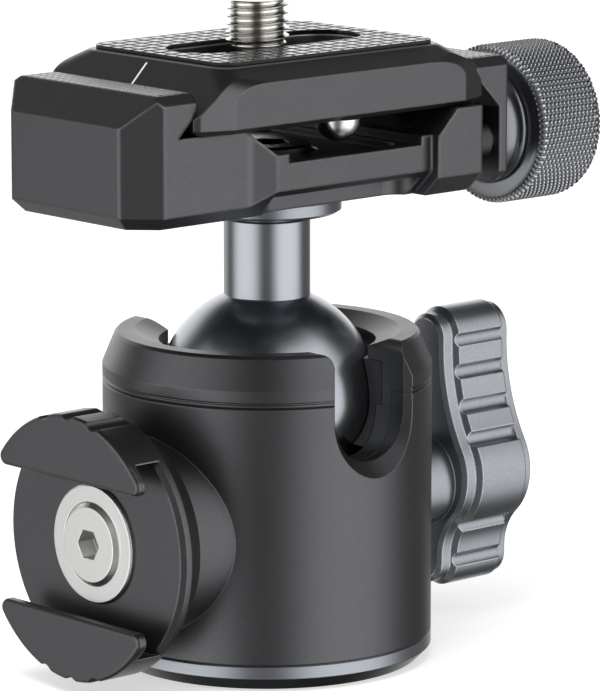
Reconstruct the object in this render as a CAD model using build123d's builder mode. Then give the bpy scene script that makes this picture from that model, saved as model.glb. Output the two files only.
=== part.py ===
from build123d import *
import os
from math import sqrt

os.makedirs("parts", exist_ok=True)

# Tripod ball head with a quick-release clamp, lock lever and turning cold shoe.
# Millimetres. Origin: mouth of the tripod thread, in the middle of the base's
# bottom face. +Z up through the stem, +X towards the lock lever and the
# clamp's knob, -X towards the cold shoe, -Y and +Y through the drop notches.

# ---------------------------------------------------------------- dimensions
fit_gap = 0.05          # radial gap of a turning or sliding fit
free_gap = 0.1          # gap between faces that pass each other
edge_break = 0.15       # small chamfer on turned edges
clear_cut = 1.0         # how far a cut runs past the stock
hex_depth = 1.2         # sockets of the small screws

# housing, from the base up
housing_radius = 16.7
base_height = 2.6
base_bevel = 1.3
shell_height = 26.0     # from the base to the ring's joint
ring_height = 5.0       # from the joint to the rim
ring_cone = 3.3
ring_cone_inset = 1.4
ring_thread_wall = 2.5  # shell wall outside the ring's thread
ring_thread_depth = 9.0
opening_radius = 13.5
ring_lip = 2.5
ring_dish = 1.0         # shallow cone from the opening down to the lip
ring_lip_depth = 2.3
cavity_wall = 4.6
pedestal_radius = 8.2
spigot_radius = 9.0
spigot_depth = 5.4
pedestal_thickness = 4.0
chamber_relief = 2.5    # the chamber's floor below the pedestal's top

# tripod socket and base screws
socket_radius = 9.525 / 2
insert_radius = 6.2
base_screw_circle = 12.4
base_screw_radius = 1.5
base_screw_head = 2.9
base_screw_length = 7.5
base_screw_room = 0.3   # bore beyond the screw's end
base_hex = 2.25
base_screw_count = 3

# grub screws that lock the top ring, at 45 degrees either side of the back
grub_radius = 0.9
grub_length = 2.0
grub_sink = 0.4
grub_drop = 3.4         # below the ring's joint
lock_angle = 45

# ball, stem and drop notches
ball_radius = 11.13
ball_depth = 6.7        # centre below the rim
seat_gap = 0.1
stem_radius = 4.38
stem_root = 0.2         # fillet between ball and stem, within the notch's gap
stem_reach = 20.3       # top of the stem's flange above the ball's centre
neck_radius = 4.1
neck_height = 0.55
notch_gap = 0.25
notch_bevel = 1.5
notch_flare = 1.0
flange_radius = 7.52
flange_height = 1.55
stem_spigot_radius = 3.9
pan_gap = 0.2
pan_inset = 0.4

# upper and lower seats, and the spring
upper_seat_wall = 0.8   # the ring's bore, wider than the cavity where the seat sits
upper_seat_skirt = 4.0  # how far the seat reaches below the ball's centre
lower_seat_rise = 5.3   # top of the lower seat below the ball's centre
lower_seat_land = 1.8
lower_seat_cone = 3.6
lower_seat_bore = 6.0
spring_wire = 0.9
spring_radius = 7.1
spring_turns = 3

# cross axis of the cold shoe and the lock lever
cross_drop = 12.1       # below the ball's centre

# lock lever
presser_radius = 4.0
presser_tip_radius = 1.6
presser_length = 4.85
presser_gap = 0.4
bush_radius = 4.4
bush_length = 2.0
bush_sink = 0.4
lever_spindle_radius = 3.0
lever_hub_radius = 4.75
lever_hub_gap = 0.25
lever_stand_off = 5.3   # inner face out from the housing
lever_width = 9.6
lever_step = 1.6        # smaller step on the inner side
lever_step_inset = 0.55
lever_step_bevel = 0.45
lever_flange = 1.25     # outer flange
lever_flange_inset = 0.3
lever_rim_bevel = 0.3
lever_waist_radius = 6.7
lever_waist_rise = 0.6
lever_upper_half = 3.0
lever_upper_reach = 18.05
lever_lower_half = 2.9
lever_lower_reach = 11.7
lever_upper_blend = 20.0
lever_lower_blend = 5.5
lever_groove_radius = 0.95
# centres of the grip grooves: half-width and height from the cross axis
lever_grooves = ((3.6, 14.9), (3.7, 11.6), (4.45, 8.1), (5.7, 4.85), (4.45, -4.9), (3.45, -8.65))
lever_cap_radius = 2.6
lever_cap_rim = 0.8
lever_cap_depth = 1.6
lever_cap_shank = 1.0
lever_cap_sink = 0.3
lever_hex = 3.0

# cold shoe
boss_radius = 10.15
boss_height = 1.5       # boss's face beyond the housing's radius
boss_inset = 0.4        # where the boss starts in the wall
pilot_radius = 3.9
shoe_gap = 0.3
shoe_back_inset = 2.5
shoe_back_depth = 3.2   # cone behind the rim
shoe_rim = 1.1          # rim's thickness behind the floor
shoe_rails = 3.5        # rails' height over the floor
shoe_radius = 13.4
shoe_bevel = 0.5
shoe_lip = 1.0
shoe_mouth = 13.7       # between the two lips
shoe_channel = 19.4     # between the walls under the lips
shoe_tip_round = 0.9
shoe_front_round = 0.4
shoe_groove_radius = 1.1
shoe_groove_depth = 0.5
shoe_groove_angles = (-16, 0, 16)
washer_radius = 6.0
washer_sink = 1.85      # back of the washer under the shoe's floor
washer_proud = 0.45
friction_thickness = 0.22
friction_inset = 1.0
shoe_screw_head = 4.2
shoe_screw_crown = 3.75  # head's flat front, proud of the washer
shoe_screw_proud = 0.45
shoe_screw_land = 0.4
shoe_screw_radius = 2.5  # shank
shoe_screw_grip = 8.35
shoe_hex = 2.8
shoe_hex_depth = 2.0

# clamp, heights from its bottom face
clamp_floor_rise = 8.8
jaw_rise = 13.0
plate_centre_x = -0.35
lip_half_gap = 18.65
jaw_thickness = 7.3     # from the lip's tip to the fixed jaw's end face
jaw_half_length = 11.3
jaw_corner = 3.1
jaw_top_bevel = 3.05
jaw_end_bevel = 0.95
jaw_bottom_bevel = 1.3
jaw_edge_round = 0.45
beam_half_length = 12.7
beam_end = 9.9
beam_edge_round = 0.4
shoulder_run = 2.4      # slope from the beam's front out to the jaw's
shoulder_round = 1.6
pocket_run = 0.4        # pocket's slope beyond the shoulder
beam_rise = 2.05
beam_bevel = 0.45
block_start = 10.75
block_length = 6.0
block_half_length = 13.8
block_bevel = 2.0
pocket_rise = 5.35
pocket_start = -8.35
pocket_end = 9.45
web_height = 0.9
pocket_rim = 1.5
pocket_depth = 0.85
pocket_corner = 3.0
platform_half_width = 8.9
platform_corner = 2.4
clamp_screw_radius = 3.0
clamp_screw_head = 4.5
clamp_screw_head_height = 2.6
clamp_screw_head_gap = 0.5
clamp_screw_grip = 9.2  # into the stem, below its flange's top
clamp_screw_room = 0.5  # bore beyond the screw's end
clamp_hex = 4.0
clamp_hex_depth = 1.6
clamp_counterbore_rise = 2.3
clamp_washer_thickness = 0.3
clamp_washer_brim = 0.3

# moving jaw, its guides and the knob
jaw_opening = 4.85      # moving jaw's inner face out from the clamp's end
moving_jaw_thickness = 4.1
guide_edge_distance = 2.3  # guide centres from the jaw's ends
guide_rise = 0.4        # above the knob's axis
guide_bush_radius = 2.2
guide_bush_grip = 5.55
guide_bush_reach = 3.95
guide_pin_radius = 1.2
guide_pin_length = 10.2
guide_pin_sink = 2.3
knob_rise = 4.0         # axis above the clamp's bottom
knob_spindle_radius = 2.5
knob_spindle_grip = 6.15
knob_bore_depth = 6.45
clip_radius = 3.4
clip_thickness = 0.5
clip_mouth = 1.4
jaw_spring_wire = 0.55
jaw_spring_radius = 3.35
jaw_spring_turns = 4
knob_washer_radius = 4.6
knob_washer_thickness = 0.6
knob_hub_radius = 5.3
knob_hub_length = 4.5
knob_ring_radius = 6.2
knob_ring_height = 0.5
knob_radius = 8.34
knob_length = 9.1
knob_back_bevel = 0.4
knob_round = 1.2
knob_recess_radius = 5.4
knob_recess = 0.9
knob_screw_head = 4.0
knob_screw_depth = 1.5
knob_hex = 3.0

# quick-release plate, heights from its bottom face
plate_thickness = 6.1
plate_tip_rise = 1.6
plate_half_width = 19.25
plate_flat_half = 15.35
plate_half_length = 13.2
plate_corner_drop = 1.3
plate_tip_corner = 0.5
plate_front_drop = 1.4
plate_bevel_depth = 2.6
plate_bevel_round = 3.0
plate_bottom_bevel = 0.5
pad_side = 0.45         # plate's top edge outside the pad, at the slopes
pad_end = 0.25
pad_thickness = 0.43
pad_corner = 2.0
slot_length = 22.6
slot_width = 7.6
slot_step = 0.4
recess_length = 27.0
recess_width = 13.0
slot_ledge = 2.4        # plate's thickness over the recess
stud_radius = 2.3
stud_drop = 2.35
stud_shank_radius = 1.5
stud_shank = 2.4
stud_tip_gap = 0.3
stud_edge_distance = 2.3

# camera screw
camera_radius = 6.35 / 2
camera_screw_x = -1.27
camera_screw_reach = 4.35
camera_screw_chamfer = 0.35
camera_neck_radius = 2.4
camera_head_radius = 6.0
camera_head_rise = 0.7  # above the plate's bottom
camera_head_height = 2.0
camera_hex = 4.0
carriage_radius = 5.2
carriage_thickness = 0.8
carriage_mouth = 4.4
coin_slot = 1.3

# ------------------------------------------------------------ derived values
# heights of the housing and the ball
seam_height = base_height + shell_height
rim_height = seam_height + ring_height
rim_radius = housing_radius - ring_cone_inset
cone_start = rim_height - ring_cone
lip_radius = opening_radius - ring_lip
lip_height = rim_height - ring_lip_depth
cavity_radius = housing_radius - cavity_wall
upper_seat_radius = cavity_radius + upper_seat_wall
ring_thread_radius = housing_radius - ring_thread_wall
ring_thread_bottom = seam_height - ring_thread_depth
ball_centre = rim_height - ball_depth
upper_seat_bottom = ball_centre - upper_seat_skirt
notch_radius = stem_radius + notch_gap
cross_height = ball_centre - cross_drop
lower_seat_top = ball_centre - lower_seat_rise
lower_seat_rim = lower_seat_top - lower_seat_land
lower_seat_bottom = lower_seat_rim - lower_seat_cone
lower_seat_radius = cavity_radius - free_gap
seat_cone_radius = lower_seat_radius - lower_seat_cone
pedestal_height = base_height + spigot_depth + pedestal_thickness
chamber_floor = pedestal_height - chamber_relief
spigot_height = base_height + spigot_depth
flange_top = ball_centre + stem_reach
flange_bottom = flange_top - flange_height
clamp_screw_bottom = flange_top - clamp_screw_grip

grub_height = seam_height - grub_drop
grub_end = housing_radius - grub_sink
grub_start = grub_end - grub_length

# the lever's pieces along the cross axis
cross_axis = Axis((0, 0, cross_height), (1, 0, 0))
bush_end = housing_radius - bush_sink
bush_start = bush_end - bush_length
presser_tail = bush_start - presser_gap
presser_tip = presser_tail - presser_length
lever_hub_start = housing_radius + lever_hub_gap
lever_inner_face = housing_radius + lever_stand_off
lever_outer_face = lever_inner_face + lever_width
lever_core_start = lever_inner_face + lever_step + lever_step_inset
lever_core_end = lever_outer_face - lever_flange

# the shoe's pieces along the cross axis, as distances from the middle
boss_face = housing_radius + boss_height
boss_root = cavity_radius + boss_inset
shoe_back = boss_face + shoe_gap
shoe_rim_back = shoe_back + shoe_back_depth
shoe_floor = shoe_rim_back + shoe_rim
shoe_front = shoe_floor + shoe_rails
washer_back = shoe_floor - washer_sink
washer_front = shoe_floor + washer_proud
shoe_screw_front = washer_front + shoe_screw_proud
shoe_back_radius = shoe_radius - shoe_back_inset
shoe_screw_end = washer_back - shoe_screw_grip
screw_slope_end = washer_front - shoe_screw_land - shoe_screw_head + shoe_screw_radius

# heights of the clamp and the plate
clamp_bottom = flange_top + pan_gap
clamp_floor = clamp_bottom + clamp_floor_rise
jaw_top = clamp_bottom + jaw_rise
beam_underside = clamp_bottom + beam_rise
pocket_floor = clamp_bottom + pocket_rise
web_top = pocket_floor + web_height
clamp_counterbore = clamp_bottom + clamp_counterbore_rise
knob_height = clamp_bottom + knob_rise
knob_axis = Axis((0, 0, knob_height), (1, 0, 0))
guide_height = knob_height + guide_rise
plate_bottom = clamp_floor + free_gap
plate_top = plate_bottom + plate_thickness
plate_tip_top = plate_bottom + plate_tip_rise
plate_front_edge = plate_top - plate_front_drop
ledge_height = plate_top - slot_ledge
pad_top = plate_top + pad_thickness
camera_screw_top = pad_top + camera_screw_reach
camera_head_bottom = plate_bottom + camera_head_rise

# the clamp's pieces along X
fixed_lip = plate_centre_x - lip_half_gap
moving_lip = plate_centre_x + lip_half_gap
fixed_jaw_face = fixed_lip - jaw_thickness
shoulder_end = beam_end + shoulder_run
block_end = block_start + block_length
moving_jaw_inner = block_end + jaw_opening
moving_jaw_face = moving_jaw_inner + moving_jaw_thickness
guide_spacing = 2 * (jaw_half_length - guide_edge_distance)
guide_bush_start = block_end - guide_bush_grip
guide_bush_end = block_end + guide_bush_reach
guide_pin_end = moving_jaw_face - guide_pin_sink
guide_pin_start = guide_pin_end - guide_pin_length
knob_bore_start = block_end - knob_bore_depth
knob_spindle_start = block_end - knob_spindle_grip
hub_start = moving_jaw_face + fit_gap + knob_washer_thickness
knob_face = hub_start + knob_hub_length
knob_end = knob_face + knob_length
knob_floor = knob_end - knob_recess
knob_seat = knob_floor - knob_screw_depth
# the lips' 45 degree undersides stand free_gap off the plate's 45 degree slopes
lip_tip = plate_tip_top + plate_half_width - lip_half_gap + free_gap * sqrt(2)
plate_top_half = plate_half_width - plate_top + plate_tip_top
pad_half_width = plate_top_half - pad_side
pad_half_length = plate_half_length - plate_bevel_depth - pad_end
stud_y = plate_half_length - stud_edge_distance


def outline(*points):
    """Closed straight-sided face through the points, in the active sketch."""
    Polygon(*points, align=None)


def across(*points):
    """The same for (x, radius) points about the cross axis, on Plane.XZ."""
    outline(*[(x, cross_height + r) for x, r in points])


def about_knob(*points):
    """The same for (x, radius) points about the knob's axis, on Plane.XZ."""
    outline(*[(x, knob_height + r) for x, r in points])


def notch_shape(margin):
    """Drop notch seen along Y: a half circle at the ball's centre, open upwards."""
    height = rim_height + clear_cut - ball_centre
    with Locations((0, ball_centre)):
        Circle(notch_radius + margin)
        Rectangle(2 * (notch_radius + margin), height, align=(Align.CENTER, Align.MIN))


def cut_notches():
    """Cuts both drop notches and their 45 degree outer bevels from the active part."""
    with BuildSketch(Plane.XZ) as notch:
        notch_shape(0)
    extrude(notch.sketch, housing_radius + clear_cut, both=True, mode=Mode.SUBTRACT)
    for side in (-1, 1):
        with BuildSketch(Plane.XZ.offset(side * housing_radius)) as mouth:
            notch_shape(notch_bevel)
        with BuildSketch(Plane.XZ.offset(side * (housing_radius - notch_bevel))) as throat:
            notch_shape(0)
        loft([mouth.sketch.face(), throat.sketch.face()], ruled=True, mode=Mode.SUBTRACT)


def coil(radius, wire, turns, length, start, direction):
    """Open coil spring of the given overall length from its start point, in the active part."""
    rise = length - wire
    centre = Vector(start) + Vector(direction) * (wire / 2)
    with BuildLine() as path:
        Helix(rise / turns, rise, radius, center=centre, direction=direction)
    with BuildSketch(Plane(origin=path.line @ 0, z_dir=path.line % 0)) as section:
        Circle(wire / 2)
    sweep(section.sketch, path=path.line, is_frenet=True)


def grub_screws(mode):
    """The two grub screws' cylinders, added to or cut from the active part."""
    with PolarLocations(0, 2, start_angle=lock_angle, angular_range=180):
        with Locations(Location((grub_start, 0, grub_height), (0, 90, 0))):
            Cylinder(grub_radius, grub_end - grub_start, mode=mode,
                     align=(Align.CENTER, Align.CENTER, Align.MIN))


def side_bevel(y, z, side, depth):
    """Cutting triangle for a 45 degree bevel at the corner (y, z) of a side view, in the active
    sketch: side is the way out of the stock, and a depth below 0 is for an upper corner."""
    down = 1 if depth > 0 else -1
    beyond = 2 * clear_cut
    reach = abs(depth) + beyond
    outline((y + side * beyond, z - down * beyond), (y + side * beyond, z + down * reach),
            (y - side * reach, z - down * beyond))


def facet_bevels(face, way):
    """Cuts the bottom bevel along both corner facets of the jaw whose end face is at x = face,
    way 1 or -1 along X."""
    for side in (-1, 1):
        facet = Plane(origin=(face - way * jaw_corner, side * jaw_half_length, 0),
                      x_dir=(way, side, 0), z_dir=(side, -way, 0))
        with BuildSketch(facet) as bevel:
            side_bevel(0, clamp_bottom, 1, jaw_bottom_bevel)
        extrude(bevel.sketch, jaw_corner * sqrt(2) + clear_cut, both=True, mode=Mode.SUBTRACT)


def near(sketch, x):
    """The corners of a sketch that stand at x."""
    return [v for v in sketch.vertices() if abs(v.X - x) < fit_gap]


def save(builder, node):
    """Labels a finished piece and writes its STEP file."""
    builder.part.label = node
    export_step(builder.part, f"parts/{node}.step")


# ------------------------------------------------------------- fixed housing
# Shell: a turned cup with the boss for the cold shoe and the lever's cross bore.
with BuildPart() as housing_shell:
    with BuildSketch(Plane.XZ):
        outline(
            (spigot_radius + fit_gap, base_height),
            (housing_radius - edge_break, base_height),
            (housing_radius, base_height + edge_break),
            (housing_radius, seam_height - edge_break),
            (housing_radius - edge_break, seam_height),
            (cavity_radius, seam_height),
            (cavity_radius, chamber_floor),
            (pedestal_radius, chamber_floor),
            (pedestal_radius, pedestal_height),
            (0, pedestal_height),
            (0, spigot_height + fit_gap),
            (spigot_radius + fit_gap, spigot_height + fit_gap),
        )
    revolve(axis=Axis.Z)
    with BuildSketch(Plane.XZ):
        across(
            (-boss_root, 0),
            (-boss_root, boss_radius),
            (edge_break - boss_face, boss_radius),
            (-boss_face, boss_radius - edge_break),
            (-boss_face, pilot_radius),
            (fit_gap - washer_back, pilot_radius),
            (fit_gap - washer_back, 0),
        )
    revolve(axis=cross_axis)
    with Locations((0, 0, ring_thread_bottom - fit_gap)):
        Cylinder(ring_thread_radius + fit_gap, seam_height, mode=Mode.SUBTRACT,
                 align=(Align.CENTER, Align.CENTER, Align.MIN))
    with BuildSketch(Plane.YZ.offset(-washer_back - clear_cut)):
        with Locations((0, cross_height)):
            Circle(shoe_screw_radius + fit_gap)
    extrude(amount=washer_back + clear_cut - pedestal_radius, mode=Mode.SUBTRACT)
    with BuildSketch(Plane.YZ.offset(pedestal_radius + clear_cut)):
        with Locations((0, cross_height)):
            Circle(presser_radius + fit_gap)
    extrude(amount=housing_radius - pedestal_radius, mode=Mode.SUBTRACT)
    with BuildSketch(Plane.YZ.offset(bush_start)):
        with Locations((0, cross_height)):
            Circle(bush_radius)
    extrude(amount=housing_radius, mode=Mode.SUBTRACT)
    with PolarLocations(base_screw_circle, base_screw_count, start_angle=180):
        with Locations((0, 0, base_height)):
            Cylinder(base_screw_radius, base_screw_length - base_height + base_screw_room,
                     align=(Align.CENTER, Align.CENTER, Align.MIN), mode=Mode.SUBTRACT)
    cut_notches()
    grub_screws(Mode.SUBTRACT)
save(housing_shell, "housing_shell")

# Top ring: screws into the shell, its lip holds the upper seat down.
with BuildPart() as top_ring:
    with BuildSketch(Plane.XZ):
        outline(
            (cavity_radius, ring_thread_bottom),
            (ring_thread_radius, ring_thread_bottom),
            (ring_thread_radius, seam_height),
            (housing_radius - edge_break, seam_height),
            (housing_radius, seam_height + edge_break),
            (housing_radius, seam_height + 2 * edge_break),
            (housing_radius - edge_break, seam_height + 3 * edge_break),
            (housing_radius, seam_height + 4 * edge_break),
            (housing_radius, cone_start),
            (rim_radius + edge_break, rim_height - 2 * edge_break),
            (rim_radius - edge_break, rim_height),
            (opening_radius, rim_height),
            (lip_radius, rim_height - ring_dish),
            (lip_radius, lip_height),
            (upper_seat_radius, lip_height),
            (upper_seat_radius, ball_centre - fit_gap),
            (cavity_radius, ball_centre - fit_gap),
        )
    revolve(axis=Axis.Z)
    cut_notches()
    flare_centre = (notch_radius + notch_flare, rim_height - notch_flare)
    with BuildSketch(Plane.XZ):
        with Locations((0, rim_height - notch_flare)):
            Rectangle(2 * flare_centre[0], 2 * notch_flare, align=(Align.CENTER, Align.MIN))
        with Locations(flare_centre, (-flare_centre[0], flare_centre[1])):
            Circle(notch_flare, mode=Mode.SUBTRACT)
    extrude(amount=housing_radius + clear_cut, both=True, mode=Mode.SUBTRACT)
save(top_ring, "top_ring")

# Upper seat: two plastic half shells round the ball, split by the notches.
with BuildPart() as upper_seat:
    with BuildSketch(Plane.XZ):
        outline(
            (ball_radius / 2, upper_seat_bottom),
            (cavity_radius - fit_gap, upper_seat_bottom),
            (cavity_radius - fit_gap, ball_centre),
            (upper_seat_radius - fit_gap, ball_centre),
            (upper_seat_radius - fit_gap, lip_height - fit_gap),
            (ball_radius / 2, lip_height - fit_gap),
        )
    revolve(axis=Axis.Z)
    with Locations((0, 0, ball_centre)):
        Sphere(ball_radius + seat_gap, mode=Mode.SUBTRACT)
    with BuildSketch(Plane.XZ):
        notch_shape(0)
    extrude(amount=housing_radius, both=True, mode=Mode.SUBTRACT)
save(upper_seat, "upper_seat")

# Base plate: disc with a spigot that fills the shell's socket.
with BuildPart() as base_plate:
    with BuildSketch(Plane.XZ):
        outline(
            (insert_radius, 0),
            (housing_radius - base_bevel, 0),
            (housing_radius, base_bevel),
            (housing_radius, base_height - edge_break),
            (housing_radius - edge_break, base_height),
            (spigot_radius, base_height),
            (spigot_radius, spigot_height),
            (insert_radius, spigot_height),
        )
    revolve(axis=Axis.Z)
    with PolarLocations(base_screw_circle, base_screw_count, start_angle=180):
        Cylinder(base_screw_radius, base_height, mode=Mode.SUBTRACT,
                 align=(Align.CENTER, Align.CENTER, Align.MIN))
        Cone(base_screw_head, base_screw_radius, base_screw_head - base_screw_radius,
             align=(Align.CENTER, Align.CENTER, Align.MIN), mode=Mode.SUBTRACT)
save(base_plate, "base_plate")

# Base screws: countersunk, with hexagon sockets.
with BuildPart() as base_screws:
    with PolarLocations(base_screw_circle, base_screw_count, start_angle=180):
        Cone(base_screw_head, base_screw_radius, base_screw_head - base_screw_radius,
             align=(Align.CENTER, Align.CENTER, Align.MIN))
        Cylinder(base_screw_radius, base_screw_length,
                 align=(Align.CENTER, Align.CENTER, Align.MIN))
    with BuildSketch():
        with PolarLocations(base_screw_circle, base_screw_count, start_angle=180):
            RegularPolygon(base_hex / 2, 6)
    extrude(amount=hex_depth, mode=Mode.SUBTRACT)
save(base_screws, "base_screws")

# Thread insert: the steel bush of the tripod socket, bore at the thread's major radius.
with BuildPart() as thread_insert:
    Cylinder(insert_radius, spigot_height, align=(Align.CENTER, Align.CENTER, Align.MIN))
    Cylinder(socket_radius, spigot_height, mode=Mode.SUBTRACT,
             align=(Align.CENTER, Align.CENTER, Align.MIN))
save(thread_insert, "thread_insert")

# Seat spring: pushes the floating seat up against the ball.
with BuildPart() as seat_spring:
    coil(spring_radius, spring_wire, spring_turns, lower_seat_bottom - fit_gap - pedestal_height,
         (0, 0, pedestal_height), (0, 0, 1))
save(seat_spring, "seat_spring")

# Lever bush: threaded bush that the lock spindle turns in.
with BuildPart() as lever_bush:
    with BuildSketch(Plane.YZ.offset(bush_start)):
        with Locations((0, cross_height)):
            Circle(bush_radius - fit_gap)
            Circle(lever_spindle_radius + fit_gap, mode=Mode.SUBTRACT)
    extrude(amount=bush_end - bush_start)
save(lever_bush, "lever_bush")

# Ring grub screws: stop the top ring from backing off.
with BuildPart() as ring_grub_screws:
    grub_screws(Mode.ADD)
save(ring_grub_screws, "ring_grub_screws")

# ------------------------------------------------------------------ cold shoe
# Friction ring: thin plastic ring between the boss and the turning shoe.
with BuildPart() as shoe_friction_ring:
    with BuildSketch(Plane.YZ.offset(fit_gap - shoe_back)):
        with Locations((0, cross_height)):
            Circle(boss_radius - friction_inset)
            Circle(pilot_radius + friction_inset, mode=Mode.SUBTRACT)
    extrude(amount=friction_thickness)
save(shoe_friction_ring, "shoe_friction_ring")

# Washer: the broad steel washer in the shoe's recess, which traps the shoe.
with BuildPart() as shoe_washer:
    with BuildSketch(Plane.XZ):
        across(
            (-washer_front + edge_break, washer_radius),
            (-washer_front, washer_radius - edge_break),
            (-washer_front, shoe_screw_head + fit_gap),
            (-washer_front + shoe_screw_land, shoe_screw_head + fit_gap),
            (-screw_slope_end, shoe_screw_radius + fit_gap),
            (-washer_back, shoe_screw_radius + fit_gap),
            (-washer_back, washer_radius),
        )
    revolve(axis=cross_axis)
save(shoe_washer, "shoe_washer")

# Shoe screw: countersunk with a raised head and a hexagon socket.
with BuildPart() as shoe_screw:
    with BuildSketch(Plane.XZ):
        across(
            (-shoe_screw_front, 0),
            (-shoe_screw_front, shoe_screw_crown),
            (-washer_front, shoe_screw_head),
            (-washer_front + shoe_screw_land, shoe_screw_head),
            (-screw_slope_end, shoe_screw_radius),
            (-shoe_screw_end, shoe_screw_radius),
            (-shoe_screw_end, 0),
        )
    revolve(axis=cross_axis)
    with BuildSketch(Plane.YZ.offset(-shoe_screw_front)):
        with Locations((0, cross_height)):
            RegularPolygon(shoe_hex / 2, 6, major_radius=False)
    extrude(amount=shoe_hex_depth, mode=Mode.SUBTRACT)
save(shoe_screw, "shoe_screw")

# Cold shoe: disc with two hooked rails, which turns on the boss's pilot.
with BuildPart() as cold_shoe:
    with BuildSketch(Plane.XZ):
        across(
            (-shoe_back, pilot_radius + fit_gap),
            (-washer_back + fit_gap, pilot_radius + fit_gap),
            (-washer_back + fit_gap, washer_radius + fit_gap),
            (-shoe_floor, washer_radius + fit_gap),
            (-shoe_floor, shoe_radius - shoe_bevel),
            (-shoe_floor + shoe_bevel, shoe_radius),
            (-shoe_rim_back, shoe_radius),
            (-shoe_back, shoe_back_radius),
        )
    revolve(axis=cross_axis)
    with BuildSketch(Plane.YZ.offset(-shoe_rim_back)):
        with Locations((0, cross_height)):
            Circle(shoe_radius)
            Rectangle(2 * shoe_radius, shoe_channel, mode=Mode.SUBTRACT)
    extrude(amount=shoe_rim_back - shoe_front)
    with BuildSketch(Plane.YZ.offset(-shoe_front + shoe_lip)):
        with Locations((0, cross_height)):
            Circle(shoe_radius)
            Rectangle(2 * shoe_radius, shoe_mouth, mode=Mode.SUBTRACT)
        fillet(vertices(), shoe_tip_round)
    extrude(amount=-shoe_lip)
    rail_fronts = cold_shoe.faces().filter_by(lambda f: abs(f.center().X + shoe_front) < fit_gap)
    fillet(rail_fronts.edges(), shoe_front_round)
    with BuildSketch(Plane.YZ.offset(-shoe_front)):
        with Locations((0, cross_height)):
            for angle in shoe_groove_angles:
                reach = shoe_radius + shoe_groove_radius - shoe_groove_depth
                with PolarLocations(reach, 2, start_angle=90 + angle):
                    Circle(shoe_groove_radius)
    extrude(amount=shoe_front - shoe_rim_back + clear_cut, mode=Mode.SUBTRACT)
save(cold_shoe, "cold_shoe")

# -------------------------------------------------------------- ball and seat
# Lower seat: floating cup whose cone rides on the wedge tip of the presser.
with BuildPart() as lower_seat:
    with BuildSketch(Plane.XZ):
        outline(
            (lower_seat_bore, lower_seat_bottom),
            (seat_cone_radius, lower_seat_bottom),
            (cavity_radius - free_gap, lower_seat_rim),
            (cavity_radius - free_gap, lower_seat_top),
            (lower_seat_bore, lower_seat_top),
        )
    revolve(axis=Axis.Z)
    with Locations((0, 0, ball_centre)):
        Sphere(ball_radius + seat_gap, mode=Mode.SUBTRACT)
save(lower_seat, "lower_seat")

# Ball and stem: one turned piece, with a threaded bore for the clamp screw.
with BuildPart() as ball_stem:
    with Locations((0, 0, ball_centre)):
        Sphere(ball_radius)
    with BuildSketch(Plane.XZ):
        outline(
            (0, ball_centre),
            (stem_radius, ball_centre),
            (stem_radius, flange_bottom - neck_height - edge_break),
            (neck_radius, flange_bottom - neck_height),
            (neck_radius, flange_bottom),
            (stem_spigot_radius, flange_bottom),
            (stem_spigot_radius, flange_top),
            (0, flange_top),
        )
    revolve(axis=Axis.Z)
    with Locations((0, 0, clamp_screw_bottom - clamp_screw_room)):
        Cylinder(clamp_screw_radius, flange_top, mode=Mode.SUBTRACT,
                 align=(Align.CENTER, Align.CENTER, Align.MIN))
    root_edges = [e for e in ball_stem.edges().filter_by(GeomType.CIRCLE)
                  if abs(e.radius - stem_radius) < fit_gap and e.center().Z < ball_centre + ball_radius]
    fillet(root_edges, stem_root)
save(ball_stem, "ball_stem")

# Pan flange: collar on the stem, the face that the clamp turns on.
with BuildPart() as pan_flange:
    with BuildSketch(Plane.XZ):
        outline(
            (stem_spigot_radius, flange_bottom),
            (flange_radius - 3 * edge_break, flange_bottom),
            (flange_radius, flange_bottom + 2 * edge_break),
            (flange_radius, flange_top - edge_break),
            (flange_radius - edge_break, flange_top),
            (stem_spigot_radius, flange_top),
        )
    revolve(axis=Axis.Z)
save(pan_flange, "pan_flange")

# Pan washer: thin plastic disc between the flange and the clamp.
with BuildPart() as pan_washer:
    with BuildSketch(Plane.XY.offset(flange_top)):
        Circle(flange_radius - pan_inset)
        Circle(clamp_screw_radius + free_gap, mode=Mode.SUBTRACT)
    extrude(amount=clamp_bottom - flange_top - fit_gap)
save(pan_washer, "pan_washer")

# Clamp screw: shoulder screw in the stem, its head sunk in the clamp's pocket.
with BuildPart() as clamp_screw:
    with Locations((0, 0, clamp_screw_bottom)):
        Cylinder(clamp_screw_radius, clamp_counterbore + clamp_washer_thickness - clamp_screw_bottom,
                 align=(Align.CENTER, Align.CENTER, Align.MIN))
    with Locations((0, 0, clamp_counterbore + clamp_washer_thickness + fit_gap)):
        Cylinder(clamp_screw_head, clamp_screw_head_height,
                 align=(Align.CENTER, Align.CENTER, Align.MIN))
    with Locations((0, 0, clamp_counterbore + clamp_washer_thickness)):
        Cylinder(clamp_screw_radius, fit_gap, align=(Align.CENTER, Align.CENTER, Align.MIN))
    chamfer(clamp_screw.edges().filter_by(GeomType.CIRCLE).sort_by(Axis.Z)[-1], 2 * edge_break)
    with BuildSketch(Plane(clamp_screw.faces().sort_by(Axis.Z)[-1])):
        RegularPolygon(clamp_hex / 2, 6, major_radius=False)
    extrude(amount=-clamp_hex_depth, mode=Mode.SUBTRACT)
save(clamp_screw, "clamp_screw")

# Clamp washer: under the screw's head.
with BuildPart() as clamp_washer:
    with BuildSketch(Plane.XY.offset(clamp_counterbore + fit_gap)):
        Circle(clamp_screw_head + clamp_washer_brim)
        Circle(clamp_screw_radius + fit_gap, mode=Mode.SUBTRACT)
    extrude(amount=clamp_washer_thickness - fit_gap)
save(clamp_washer, "clamp_washer")

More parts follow.
